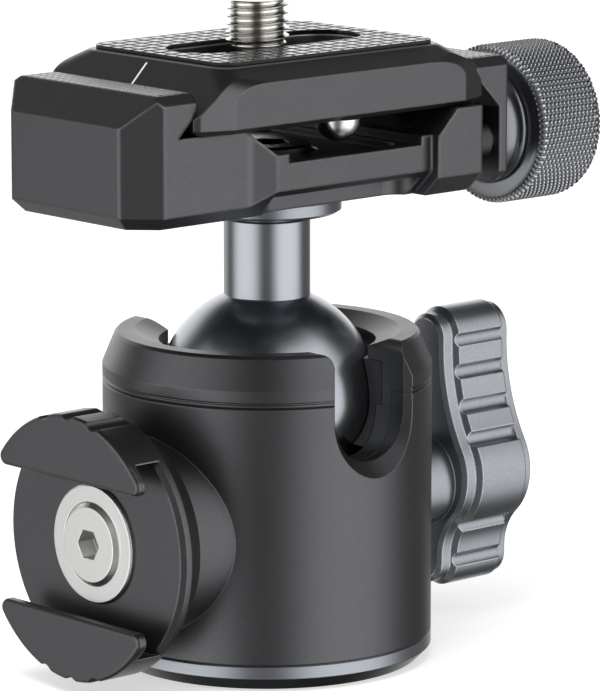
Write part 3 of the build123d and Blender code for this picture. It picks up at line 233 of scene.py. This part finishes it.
turned_noise = add(turned_lines, "ShaderNodeTexNoise", [
    ("Vector", turned_where.outputs[0]), ("Scale", 1.0), ("Detail", 1.0)]).outputs["Fac"]
join(turned_lines, turned_out, [("Height", turned_noise), ("Gleam", spread(
    turned_lines, turned_noise, 0.3, 0.7,
    reckon(turned_lines, "SUBTRACT", 1.0, turned_in.outputs["Contrast"]),
    reckon(turned_lines, "ADD", 1.0, turned_in.outputs["Contrast"])))])


def turned_metal(name, colour, roughness, lines_per_mm, depth, centre=(0, 0, 0), lying=False,
                 metallic=1.0, edge=0.00008, edge_highlight_colour=None, contrast=0.05, painted_light=None):
    """Turned metal: fine rings about an upright axis through centre, or one along X if lying.
    Edges get a painted highlight in the colour given as bright, or one and a half times the colour.
    rubbed(tree, place) may give a mask and a colour of painted shade or painted highlight, laid over it."""
    material, tree, shader, place = new_finish(name, metallic)
    about_axis = add(tree, "ShaderNodeMapping", [
        ("Vector", place), ("Location", centre),
        ("Rotation", (0, math.radians(90 if lying else 0), 0))], vector_type="TEXTURE").outputs[0]
    lines = effect_on(tree, about_axis, turned_lines,
                      [("Lines per mm", lines_per_mm), ("Contrast", contrast)])
    skin = effect_on(tree, place, blasted_skin, [])
    corner = effect_on(tree, place, broken_edge, [("Radius", edge)])
    # Edges get a painted highlight.
    tint = laid_over(tree, corner["Edge"], toned(tree, colour, lines["Gleam"]),
                     edge_highlight_colour or tuple(min(1.0, c * 1.5) for c in colour))
    if painted_light:
        mask, painted_light_colour = painted_light(tree, place)
        tint = laid_over(tree, mask, tint, painted_light_colour)
    rough = reckon(tree, "ADD", skin["Sheen drift"], roughness)
    bump = raised(tree, lines["Height"], depth, corner["Normal"])
    join(tree, shader, [("Base Color", tint), ("Roughness", rough), ("Normal", bump)])
    return material


gunmetal = (0.27, 0.285, 0.31)
base_bevel_top = 0.0013


def painted_shade_on_bevel(tree, place):
    """Mask and colour of painted shade on the base's lower bevel, darker than the turned rim."""
    height = coordinate(tree, place, "Z")
    mask = spread(tree, height, base_bevel_top + 0.00006, base_bevel_top - 0.00006)
    return mask, (0.07, 0.072, 0.078)


base_grey = turned_metal("grey_turned_base", gunmetal, 0.30, lines_per_mm=7.0, depth=0.0000015,
                         metallic=0.9, edge=0.00012, painted_light=painted_shade_on_bevel)
finish(base_grey, "base_plate")
turned_steel = turned_metal("turned_steel", (0.62, 0.61, 0.59), 0.24, lines_per_mm=8.0, depth=0.000002)
finish(turned_steel, "thread_insert")
black_oxide = turned_metal("black_oxide_screws", (0.05, 0.05, 0.052), 0.33, lines_per_mm=9.0,
                           depth=0.000003, metallic=0.9, edge_highlight_colour=(0.2, 0.2, 0.2))
finish(black_oxide, "base_screws", "ring_grub_screws")

# -------------------------------------------------- the seats and what lifts them
# Slippery moulded seats above and below the ball, a coil spring under the lower one,
# the plastic wedge that lifts it and the brass bush of the lock screw.


def moulded(name, colour, roughness, painted_shade=None):
    """Moulded plastic or rubber: faint flow mottling in tone and gloss, with a fine grained
    skin. dull(tree, place) may give a mask of painted shade, which is laid on near black and matt."""
    shade_black, matt, grains_per_mm, depth = (0.008, 0.008, 0.008), 0.5, 2.5, 0.000002
    material, tree, shader, place = new_finish(name, 0.0)
    skin = effect_on(tree, place, blasted_skin, [("Pebbles per mm", grains_per_mm)])
    tint = toned(tree, colour, skin["Tone"])
    rough = reckon(tree, "ADD", skin["Sheen drift"], roughness)
    if painted_shade:
        mask = painted_shade(tree, place)
        tint = laid_over(tree, mask, tint, shade_black)
        rough = reckon(tree, "ADD", rough, reckon(tree, "MULTIPLY", mask, matt))
    bump = raised(tree, skin["Height"], depth)
    join(tree, shader, [("Base Color", tint), ("Roughness", rough), ("Normal", bump)])
    return material


seat_plastic = moulded("dark_seat_plastic", (0.03, 0.03, 0.032), 0.45)
finish(seat_plastic, "upper_seat", "lower_seat", "presser", "pan_washer", "shoe_friction_ring")
spring_steel = turned_metal("spring_steel", (0.36, 0.36, 0.37), 0.32, lines_per_mm=5.0, depth=0.000002)
finish(spring_steel, "seat_spring", "jaw_spring")
bush_low, bush_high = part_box("lever_bush")
brass = turned_metal("bush_brass", (0.66, 0.48, 0.22), 0.28, lines_per_mm=8.0, depth=0.000003,
                     centre=(0, 0, (bush_low.z + bush_high.z) / 2), lying=True)
finish(brass, "lever_bush")

# ----------------------------------------------------------- the ball and stem
# Ball and stem are one turned piece, polished and anodised gun-metal grey; the collar
# that the clamp pans on is satin.
ball_grey = turned_metal("polished_gunmetal", (0.31, 0.325, 0.35), 0.25, lines_per_mm=6.0,
                         depth=0.0000001, metallic=0.97, contrast=0.012)
finish(ball_grey, "ball_stem")
collar_grey = turned_metal("satin_gunmetal_collar", gunmetal, 0.30, lines_per_mm=8.0, depth=0.000001,
                           metallic=0.9, contrast=0.03)
finish(collar_grey, "pan_flange")
finish(black_oxide, "clamp_screw")
finish(turned_steel, "clamp_washer")

# -------------------------------------------------------------- the lock lever
# Milled wing lever, blasted and anodised gun-metal grey, with grooves for the fingers,
# on a steel spindle with a black cap screw.
lever_grey = blasted_metal("gunmetal_blasted_lever", (0.285, 0.30, 0.325), (0.60, 0.61, 0.63),
                           edge=0.0002, roughness=0.29, pebbles_per_mm=5.5, depth=0.000006)
finish(lever_grey, "lever_arm")
finish(turned_steel, "lever_spindle")
finish(black_oxide, "lever_cap_screw")

# --------------------------------------------------------------- the cold shoe
# Black blasted disc with two hooked rails, held by a broad turned steel washer and a
# countersunk steel screw, so that it can be turned.
shoe_low, shoe_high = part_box("shoe_screw")
black_shoe = blasted_metal("black_blasted_shoe", black, black_wear_and_highlight, edge=0.0002)
finish(black_shoe, "cold_shoe")
shoe_steel = turned_metal("turned_shoe_washer", (0.72, 0.715, 0.70), 0.30, lines_per_mm=7.0,
                          depth=0.000001, centre=(0, 0, (shoe_low.z + shoe_high.z) / 2), lying=True,
                          edge=0.00014, edge_highlight_colour=(0.9, 0.89, 0.88), contrast=0.02)
finish(shoe_steel, "shoe_washer", "shoe_screw")

# ------------------------------------------------------------------- the clamp
# Milled clamp body and moving jaw, blasted and anodised black, with steel guides. Each
# jaw's flat top carries a thin strip of fine square scales, raised by a roller.
black_clamp = blasted_metal("black_blasted_clamp", black, black_wear_and_highlight, edge=0.00042)
finish(black_clamp, "clamp_body", "moving_jaw")
finish(turned_steel, "guide_pins", "knob_spindle", "knob_clip", "knob_washer")
finish(black_oxide, "guide_bushes")

jaw_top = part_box("moving_jaw")[1].z * 1000
grip_half_length, grip_rise, grip_sunk, grip_rim = 10.0, 0.07, 0.02, 0.2
grip_pitch, grip_slope, grip_step = 0.95, 0.2, 0.065
fixed_grip_ends, moving_grip_ends = (-23.15, -19.1), (18.4, 22.55)


def surface(name, points, faces, material):
    """A smooth piece from points in metres and four-cornered faces."""
    mesh = bpy.data.meshes.new(name)
    mesh.from_pydata(points, [], faces.tolist())
    mesh.update()
    mesh.polygons.foreach_set("use_smooth", np.full(len(mesh.polygons), True))
    mesh.materials.append(material)
    piece = bpy.data.objects.new(name, mesh)
    bpy.context.scene.collection.objects.link(piece)
    return piece


def grid_faces(rows, columns, first=0, round_rows=False, round_columns=False):
    """Corner numbers of the quads of a rows by columns grid, joined up where it closes."""
    r = np.arange(rows if round_rows else rows - 1)
    c = np.arange(columns if round_columns else columns - 1)
    i, j = np.meshgrid(r, c, indexing="ij")
    k, m = (i + 1) % rows, (j + 1) % columns
    corners = np.stack([i * columns + j, k * columns + j, k * columns + m, i * columns + m], -1)
    return corners.reshape(-1, 4) + first


def grid_rim(rows, columns):
    """Numbers of the points round a rows by columns grid, once round from its first corner."""
    return np.concatenate([np.arange(columns), np.arange(1, rows) * columns + columns - 1,
                           rows * columns - 2 - np.arange(columns - 1),
                           np.arange(rows - 2, 0, -1) * columns])


def square_scales(x, y, pitch, slope):
    """Height from 0 to 1 of square scales: 0 along the middles of grooves that run in X and Y, one
    every pitch, and in proportion to the distance from the nearest of them up to 1 at slope."""
    across, lengthwise = x / pitch, y / pitch
    gap = pitch * np.minimum(np.abs(across - np.round(across)),
                             np.abs(lengthwise - np.round(lengthwise)))
    return np.clip(gap / slope, 0, 1)


def grip_strip(name, x0, x1):
    """A strip of square scales on a jaw's top, from x0 to x1: height rises from the jaw by a
    quarter of the rise and three quarters of it times the scales, falls to the jaw along its
    edges, and closes with a flat underside sunk into the jaw."""
    x = np.linspace(x0, x1, int((x1 - x0) / grip_step) + 1)
    y = np.linspace(-grip_half_length, grip_half_length, int(2 * grip_half_length / grip_step) + 1)
    gx, gy = np.meshgrid(x, y, indexing="ij")
    inset = np.minimum(np.minimum(gx - x0, x1 - gx), grip_half_length - np.abs(gy))
    scales = 0.25 + 0.75 * square_scales(gx, gy, grip_pitch, grip_slope)
    z = jaw_top + grip_rise * np.clip(inset / grip_rim, 0, 1) * scales
    top = np.stack([gx, gy, z], -1).reshape(-1, 3)
    under = np.stack([gx, gy, np.full_like(gx, jaw_top - grip_sunk)], -1).reshape(-1, 3)
    count, rows, columns = len(top), len(x), len(y)
    rim = grid_rim(rows, columns)
    after = np.roll(rim, -1)
    walls = np.stack([rim, after, after + count, rim + count], -1)
    faces = np.concatenate([grid_faces(rows, columns), grid_faces(rows, columns, count)[:, ::-1],
                            walls])
    return surface(name, np.concatenate([top, under]) / 1000, faces, grip_black)


grip_black = blasted_metal("black_rolled_grip", (0.16, 0.162, 0.168), black_wear_and_highlight, edge=0.00003,
                           roughness=0.27, pebbles_per_mm=7.0, depth=0.000004)
fixed_grip = grip_strip("fixed_jaw_grip", *fixed_grip_ends)
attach(fixed_grip, "clamp")
moving_grip = grip_strip("moving_jaw_grip", *moving_grip_ends)
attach(moving_grip, "jaw")

# -------------------------------------------------------------------- the knob
# Clamp knob: turned from aluminium, knurled, anodised gun-metal grey, with a polished
# bead where its hub meets the face. The knurl is cut by 84 straight and 26 helical grooves.
knob_low, knob_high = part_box("knob_grip")
knob_start, knob_end = knob_low.x * 1000, knob_high.x * 1000
knob_radius = (knob_high.y - knob_low.y) * 500
knob_axis_z = (knob_high.z + knob_low.z) * 500
knob_bore, hub_radius, bead_radius, bead_round = 2.5, 5.3, 6.2, 0.42
front_length, front_round, end_round = 0.45, 0.46, 1.2
knob_face = knob_start + 4.5
knurl_start, knurl_end = knob_face + 0.2, knob_end - end_round
knurl_rows, knurl_lead, knurl_pitch, knurl_depth = 84, 26, 0.57, 0.3
knurl_plain_front, knurl_front_run = 0.35, 0.2
points_per_row, points_along = 10, 136
recess_radius, screw_seat_radius = 5.4, 4.0


def arc(x, r, radius, start, end, count):
    """Profile points (x, r) on a round stretch about a centre, from one angle in degrees to another."""
    turn = np.radians(np.linspace(start, end, count))
    return np.stack([x + radius * np.cos(turn), r + radius * np.sin(turn)], -1)


def knob_surface():
    """The knob's skin from a profile turned round X, and how much of a knurl's crown each point is.
    Crown: 1.7 times the product of two half sines, one round the knob and one along it with the
    knurl's lead, less 0.4 and held between 0 and 1; along the plain front edge only the first
    counts. The skin drops by the knurl's depth from the profile where it is 0."""
    hub = np.array([(0, knob_bore), (0, 4.6), (0.07, 4.95), (0.3, 5.2), (0.85, hub_radius - 0.05),
                    (2.45, hub_radius), (3.0, hub_radius + 0.08), (3.33, hub_radius + 0.25)])
    bead = arc(-bead_round - 0.01, bead_radius - bead_round, bead_round, 180, -25, 12)
    face = np.array([(-0.06, bead_radius - 0.25), (-0.02, bead_radius), (0, 7.1), (0.07, 7.6),
                     (0.15, 7.8)])
    knurled_x = np.linspace(knurl_start, knurl_end, points_along)
    lead = np.clip((knurled_x - knurl_start) / front_length, 0, 1)
    knurled_r = knob_radius - front_round * (1 - np.sqrt(1 - (1 - lead) ** 2))
    rounded = np.linspace(90, 0, 9)[1:]
    rounded_end = arc(knurl_end, knob_radius - end_round, end_round, rounded[0], 0, len(rounded))
    recess = np.array([(0, recess_radius + 0.9), (0, recess_radius + 0.15),
                       (-0.08, recess_radius + 0.02), (-0.2, recess_radius), (-0.8, recess_radius),
                       (-0.9, recess_radius - 0.1), (-0.9, screw_seat_radius),
                       (-2.4, screw_seat_radius), (-2.4, knob_bore)])
    plain = np.concatenate([hub + (knob_start, 0), bead + (knob_face, 0), face + (knob_face, 0)])
    profile = np.concatenate([plain, np.stack([knurled_x, knurled_r], -1), rounded_end,
                              recess + (knob_end, 0)])
    around = np.arange(knurl_rows * points_per_row) / (knurl_rows * points_per_row)
    x = np.repeat(profile[:, :1], len(around), 1)
    knurled = np.zeros((len(profile), 1))
    first, last = len(plain), len(plain) + len(knurled_x)
    knurled[first:last] = 1
    knurled[last:last + len(rounded), 0] = np.cos(np.radians(90 - rounded)) ** 1.5
    rows = np.abs(np.sin(np.pi * knurl_rows * around))[None, :]
    slanting = np.abs(np.sin(np.pi * ((x - knurl_start) / knurl_pitch + knurl_lead * around[None, :])))
    front = np.clip((knurl_start + knurl_plain_front - x) / knurl_front_run + 1, 0, 1)
    slanting = slanting + (1 - slanting) * front
    crown = np.clip(1.7 * rows * slanting - 0.4, 0, 1)
    r = profile[:, 1:] - knurl_depth * knurled * (1 - crown)
    angle = 2 * np.pi * around[None, :]
    points = np.stack([x, r * np.cos(angle), knob_axis_z + r * np.sin(angle)], -1).reshape(-1, 3)
    faces = grid_faces(len(profile), len(around), 0, True, True)
    return points / 1000, faces, (crown * knurled).reshape(-1)


def painted_crown_highlight(tree, place):
    """Mask and colour of a painted highlight on the tops of the knurl, from the mesh's own crown
    attribute.
    """
    crown = add(tree, "ShaderNodeAttribute", attribute_name="crown").outputs["Fac"]
    return spread(tree, crown, 0.4, 0.9, 0.0, 0.95), (0.50, 0.51, 0.53)


knob_grey = turned_metal("knurled_gunmetal", (0.19, 0.196, 0.208), 0.30, lines_per_mm=6.0,
                         depth=0.000001, centre=(0, 0, knob_axis_z / 1000), lying=True,
                         metallic=0.95, edge=0.00004, contrast=0.02, painted_light=painted_crown_highlight)
knob_points, knob_faces, knob_crowns = knob_surface()
knurled_knob = surface("knurled_knob", knob_points, knob_faces, knob_grey)
knurled_knob.data.attributes.new("crown", "FLOAT", "POINT").data.foreach_set("value", knob_crowns)
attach(knurled_knob, "knob")
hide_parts("knob_grip")
finish(black_oxide, "knob_screw")

# ------------------------------------------------------------------- the plate
# Dovetail plate, milled and anodised like the clamp, with a white index line cut into
# the middle of its left slope and steel safety studs under its ends. The rubber pad that
# is stuck on top has moulded square scales.
plate_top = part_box("plate")[1].z
line_y, line_half_width, line_left_of = 0.00029, 0.00013, -0.0155
line_low, line_high = plate_top - 0.0024, plate_top - 0.0004


def index_line_and_edge_highlight(tree, place):
    """Mask and colour of the white line, narrow in Y on the left slope between two heights, and a
    faint painted highlight in the same matt white along the edge round the plate's flat top."""
    height = coordinate(tree, place, "Z")
    across = reckon(tree, "ABSOLUTE", reckon(tree, "SUBTRACT", coordinate(tree, place, "Y"), line_y))
    beside = reckon(tree, "LESS_THAN", across, line_half_width)
    left = reckon(tree, "LESS_THAN", coordinate(tree, place, "X"), line_left_of)
    low = reckon(tree, "GREATER_THAN", height, line_low)
    high = reckon(tree, "LESS_THAN", height, line_high)
    mask = reckon(tree, "MULTIPLY", reckon(tree, "MULTIPLY", beside, left),
                  reckon(tree, "MULTIPLY", low, high))
    painted_edge_highlight = spread(tree, height, plate_top - 0.00014, plate_top - 0.00008, 0.0, 0.22)
    return reckon(tree, "MAXIMUM", mask, painted_edge_highlight), (0.97, 0.97, 0.96)


plate_black = blasted_metal("black_plate_with_line_and_edge_highlight", black, black_wear_and_highlight, edge=0.00025, paint=index_line_and_edge_highlight)
finish(plate_black, "plate")
finish(turned_steel, "safety_studs", "screw_carriage")

pad_box_low, pad_box_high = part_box("plate_pad")
pad_low, pad_high = pad_box_low.z * 1000, pad_box_high.z * 1000
pad_half = ((pad_box_high.x - pad_box_low.x) * 500, (pad_box_high.y - pad_box_low.y) * 500)
pad_centre_x = (pad_box_high.x + pad_box_low.x) * 500
pad_round, pad_slot, pad_rim = 2.0, (23.4, 8.4), 0.35
pad_pitch, pad_slope, pad_groove, pad_first_groove = 1.64, 0.27, 0.15, (-0.22, 0.35)


def round_outline(half_x, half_y, radius, count):
    """Points evenly spaced round a rectangle with rounded corners: straight runs and quarter
    circles in turn, by length."""
    sx, sy, quarter = half_x - radius, half_y - radius, np.pi * radius / 2
    lengths = np.array([2 * sy, quarter, 2 * sx, quarter, 2 * sy, quarter, 2 * sx, quarter])
    ends = np.concatenate([[0], np.cumsum(lengths)])
    s = np.arange(count) / count * ends[-1]
    k = np.clip(np.searchsorted(ends, s, side="right") - 1, 0, 7)
    t = s - ends[k]
    corner = np.array([(sx, sy), (-sx, sy), (-sx, -sy), (sx, -sy)])
    q = k // 2
    base = q * np.pi / 2
    straight = k % 2 == 0
    turned = base + np.where(straight, 0, t / radius)
    x = corner[q, 0] + radius * np.cos(turned)
    y = corner[q, 1] + radius * np.sin(turned)
    back = lengths[k] - t
    x = np.where(straight, x + back * np.sin(base), x)
    y = np.where(straight, y - back * np.cos(base), y)
    return np.stack([x, y], -1)


def pad_surface():
    """Pad skin between the slot's outline and the outer outline: each ring of points is a blend
    of the two. Height: the top less the grooves between square scales, level along both rims. A
    groove's wall is the 2.2 power of what the scales' pattern lacks to 1."""
    count, rings = 960, 84
    outer = round_outline(*pad_half, pad_round, count)
    inner = round_outline(pad_slot[0] / 2, pad_slot[1] / 2, pad_slot[1] / 2 - 0.01, count)
    s = np.linspace(0, 1, rings)[:, None, None]
    xy = inner[None] * (1 - s) + outer[None] * s
    inner_gap = np.linalg.norm(xy - inner[None], axis=-1)
    outer_gap = np.linalg.norm(xy - outer[None], axis=-1)
    level = np.clip(np.minimum(inner_gap, outer_gap) / pad_rim, 0, 1)
    scale = square_scales(xy[..., 0] - pad_first_groove[0], xy[..., 1] - pad_first_groove[1],
                          pad_pitch, pad_slope)
    z = pad_high - level * pad_groove * (1 - scale) ** 2.2
    top = np.concatenate([xy + (pad_centre_x, 0), z[..., None]], -1)
    lip_in = np.concatenate([inner + (pad_centre_x, 0), np.full((count, 1), pad_low)], -1)[None]
    lip_out = np.concatenate([outer + (pad_centre_x, 0), np.full((count, 1), pad_low)], -1)[None]
    rows = np.concatenate([lip_in, top, lip_out])
    return rows.reshape(-1, 3) / 1000, grid_faces(len(rows), count, 0, True, True)[:, ::-1]


def painted_shade_below_scales(tree, place):
    """Mask of painted shade in the pad's gaps and on its side walls, from the height under its scales'
    tops.
    """
    return spread(tree, coordinate(tree, place, "Z"), pad_box_high.z - 0.00004, pad_box_high.z - 0.00008)


# The pad's gaps and side walls get painted shade, near black and matt.
pad_rubber = moulded("black_pad_rubber", (0.045, 0.045, 0.046), 0.13, painted_shade=painted_shade_below_scales)
pad_points, pad_faces = pad_surface()
scaled_pad = surface("scaled_pad", pad_points, pad_faces, pad_rubber)
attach(scaled_pad, "plate")
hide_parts("plate_pad")

# ------------------------------------------------------------ the camera screw
# Steel camera screw: broad head with a coin slot under the plate, a slim neck, and a
# rolled thread above the pad.
screw_low, screw_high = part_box("camera_screw")
screw_x = (screw_low.x + screw_high.x) * 500
screw_bottom, screw_top = screw_low.z * 1000, screw_high.z * 1000
head_radius, head_height, head_bevel = (screw_high.x - screw_low.x) * 500, 2.0, 0.3
slot_half_width, slot_depth = 0.65, 1.2
neck_radius, thread_root, thread_crest, screw_pitch = 2.4, 2.66, 3.175, 0.8
thread_start, thread_bevel, bevel_slope, thread_run_out = pad_high - 0.33, 0.04, 1.1, 0.5
crest_foot, crest_height = 0.36, 1.12
pole = 0.001


def screw_head():
    """Head with its coin slot: the underside is straight rows of points across the round, raised
    by the slot's depth between its two edges; the same rim points carry up the wall to the upper
    face and in to its middle."""
    edge = np.arcsin(slot_half_width / head_radius)
    swing = np.concatenate([np.linspace(-np.pi / 2, -edge, 16), np.linspace(-edge, edge, 5),
                            np.linspace(edge, np.pi / 2, 16)])
    y = head_radius * np.sin(swing)
    z = screw_bottom + slot_depth * np.repeat([0, 1, 0], [16, 5, 16])
    reach = np.maximum(head_radius * np.cos(swing), pole)
    rows, columns = len(y), 13
    across = np.linspace(-1, 1, columns)
    under = np.stack([reach[:, None] * across[None], np.repeat(y[:, None], columns, 1),
                      np.repeat(z[:, None], columns, 1)], -1).reshape(-1, 3)
    rim = grid_rim(rows, columns)
    high = screw_bottom + head_height
    levels = [(head_radius, high - head_bevel), (head_radius - head_bevel, high),
              (head_radius / 2, high), (pole, high)]
    rings = [np.concatenate([under[rim, :2] * (r / head_radius), np.full((len(rim), 1), h)], 1)
             for r, h in levels]
    faces = [grid_faces(rows, columns)]
    lower = rim
    for n in range(len(levels)):
        upper = len(under) + n * len(rim) + np.arange(len(rim))
        faces.append(np.stack([lower, np.roll(lower, -1), np.roll(upper, -1), upper], -1))
        lower = upper
    points = np.concatenate([under, *rings]) + (screw_x, 0, 0)
    return points / 1000, np.concatenate(faces)


def screw_thread():
    """Neck and thread: radius is the root plus a narrow crest that comes round once per pitch, cut
    down by the end's bevel and run out at the neck. The crest rises straight from its foot, a
    part of the pitch to each side, and is cut off flat at 1."""
    neck = screw_bottom + head_height - 0.1
    z = np.concatenate([[neck, neck, thread_start - 0.4, thread_start - 0.05],
                        np.linspace(thread_start, screw_top - thread_bevel, 200),
                        [screw_top, screw_top]])
    around = np.arange(144) / 144
    phase = (z[:, None] / screw_pitch - around[None]) % 1.0
    crest = np.clip(crest_height * (1 - np.abs(phase - 0.5) / crest_foot), 0, 1)
    run_out = np.clip((z - thread_start) / thread_run_out, 0, 1)[:, None]
    r = thread_root + (thread_crest - thread_root) * run_out * crest
    r = np.minimum(r, thread_root + thread_bevel + (screw_top - z)[:, None] * bevel_slope)
    r[:4] = np.array([[pole], [neck_radius], [neck_radius], [neck_radius + 0.05]])
    r[-2:] = np.array([[thread_root - thread_bevel], [pole]])
    angle = 2 * np.pi * around[None]
    points = np.stack([screw_x + r * np.cos(angle), r * np.sin(angle),
                       np.repeat(z[:, None], len(around), 1)], -1).reshape(-1, 3)
    return points / 1000, grid_faces(len(z), len(around), 0, False, True)[:, ::-1]


screw_steel = turned_metal("rolled_screw_steel", (0.60, 0.59, 0.56), 0.17, lines_per_mm=8.0,
                           depth=0.000001, centre=(screw_x / 1000, 0, 0), edge=0.00002, contrast=0.03)
head_points, head_faces = screw_head()
thread_points, thread_faces = screw_thread()
slotted_screw = surface("slotted_camera_screw", np.concatenate([head_points, thread_points]),
                        np.concatenate([head_faces, thread_faces + len(head_points)]), screw_steel)
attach(slotted_screw, "camera_screw")
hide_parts("camera_screw")

# ---------------------------------------------------- the table and the studio
# A pale table that reaches past the camera's view, a big soft light overhead, and a pale
# room with two broad light banks and a backdrop, which the metal mirrors.
table_middle, table_rim, table_drop = 0.001, 1.5, 0.00002
table_glow, plain_room = 0.55, 0.55


def table_surface():
    """A flat disc just under the head: rings of points whose distance is the rim's times the
    square of an even step, inside them a first ring close to the middle."""
    reach = np.concatenate([[table_middle], table_rim * np.linspace(0.1, 1, 10) ** 2])
    angle = 2 * np.pi * np.arange(96) / 96
    points = np.stack([reach[:, None] * np.cos(angle), reach[:, None] * np.sin(angle),
                       np.full((len(reach), len(angle)), -table_drop)], -1).reshape(-1, 3)
    return points, grid_faces(len(reach), len(angle), 0, False, True)


table_paint, table_tree, table_shader, table_place = new_finish("pale_table", 0.0)
table_grain = add(table_tree, "ShaderNodeTexNoise", [
    ("Vector", table_place), ("Scale", 60.0)]).outputs["Fac"]
table_tone = spread(table_tree, table_grain, 0.0, 1.0, 0.79, 0.81)
table_colour = add(table_tree, "ShaderNodeCombineColor", [
    ("Red", table_tone), ("Green", table_tone), ("Blue", table_tone)]).outputs[0]
table_rays = add(table_tree, "ShaderNodeLightPath").outputs
table_seen = reckon(table_tree, "MAXIMUM", table_rays["Is Camera Ray"], reckon(
    table_tree, "MAXIMUM", table_rays["Is Glossy Ray"], table_rays["Is Transmission Ray"]))
join(table_tree, table_shader, [
    ("Roughness", 0.9), ("Specular IOR Level", 0.0), ("Base Color", table_colour),
    ("Emission Color", (1, 1, 1, 1)),
    ("Emission Strength", reckon(table_tree, "MULTIPLY", table_seen, table_glow))])
table_points, table_faces = table_surface()
pale_table = surface("pale_table", table_points, table_faces, table_paint)
pale_table.visible_glossy = False

room = bpy.data.worlds.new("pale_room")
bpy.context.scene.world = room
room.use_nodes = True
sky = room.node_tree
sky.nodes.clear()
sky_way = add(sky, "ShaderNodeTexCoord").outputs["Generated"]
sky_height = coordinate(sky, sky_way, "Z")
sky_level = add(sky, "ShaderNodeVectorMath", [(0, add(sky, "ShaderNodeCombineXYZ", [
    ("X", coordinate(sky, sky_way, "X")), ("Y", coordinate(sky, sky_way, "Y"))]).outputs[0])],
    operation="NORMALIZE").outputs["Vector"]


def bank(azimuth, full, gone, strength, low, high):
    """Light of a bank in each direction: its strength within full degrees of its azimuth, falling
    smoothly to 0 at gone degrees, and from low to 0 at high in the direction's height."""
    towards = (math.cos(math.radians(azimuth)), math.sin(math.radians(azimuth)), 0.0)
    cosine = add(sky, "ShaderNodeVectorMath", [(0, sky_level), (1, towards)],
                 operation="DOT_PRODUCT").outputs["Value"]
    beside = spread(sky, cosine, math.cos(math.radians(gone)), math.cos(math.radians(full)))
    return reckon(sky, "MULTIPLY", reckon(sky, "MULTIPLY", beside, strength),
                  spread(sky, sky_height, high, low))


left_bank = bank(azimuth=168, full=6, gone=50, strength=1.75, low=0.36, high=0.76)
right_bank = bank(azimuth=286, full=14, gone=51, strength=1.75, low=0.66, high=0.94)
backdrop = bank(azimuth=62, full=22, gone=50, strength=1.4, low=0.36, high=0.64)
backdrop = reckon(sky, "MULTIPLY", backdrop, spread(sky, sky_height, -0.16, 0.0, 0.4, 1.0))
ambient = spread(sky, sky_height, 0.0, 0.7, 0.19, 0.04)
banks = reckon(sky, "ADD", reckon(sky, "ADD", left_bank, right_bank),
               reckon(sky, "ADD", backdrop, ambient))
mirrored = reckon(sky, "MULTIPLY", banks, spread(sky, sky_height, -0.85, -0.55, 0.2, 1.0))

sky_rays = add(sky, "ShaderNodeLightPath").outputs
glossy = reckon(sky, "MULTIPLY", sky_rays["Is Glossy Ray"], mirrored)
seen = reckon(sky, "MAXIMUM", sky_rays["Is Camera Ray"], sky_rays["Is Transmission Ray"])
other = reckon(sky, "SUBTRACT", 1.0, reckon(sky, "MAXIMUM", seen, sky_rays["Is Glossy Ray"]))
sky_strength = reckon(sky, "ADD", reckon(sky, "ADD", glossy, seen),
                      reckon(sky, "MULTIPLY", other, plain_room))
sky_back = add(sky, "ShaderNodeBackground", [("Color", (1, 1, 1, 1)), ("Strength", sky_strength)])
add(sky, "ShaderNodeOutputWorld", [("Surface", sky_back.outputs[0])])

overhead_light = bpy.data.lights.new("overhead_softbox", "AREA")
overhead_light.shape = "DISK"
overhead_light.size = 0.5
overhead_light.energy = 3.2
softbox = bpy.data.objects.new("overhead_softbox", overhead_light)
softbox.location = (-0.25, -0.1, 0.8)
softbox.rotation_euler = (math.radians(-7.0), math.radians(-17.0), 0.0)
softbox.visible_glossy = False
bpy.context.scene.collection.objects.link(softbox)

lens = bpy.data.cameras.new("product_camera")
lens.sensor_fit = "VERTICAL"
lens.sensor_height = 36.0
lens.lens = 257.1
lens.clip_start = 0.01
camera = bpy.data.objects.new("product_camera", lens)
camera.location = (-0.32638, -0.36617, 0.12599)
camera.rotation_euler = (math.radians(90 - 10.871), 0.0, math.radians(-42.10))
bpy.context.scene.collection.objects.link(camera)
bpy.context.scene.camera = camera
bpy.context.scene.view_settings.view_transform = "Standard"
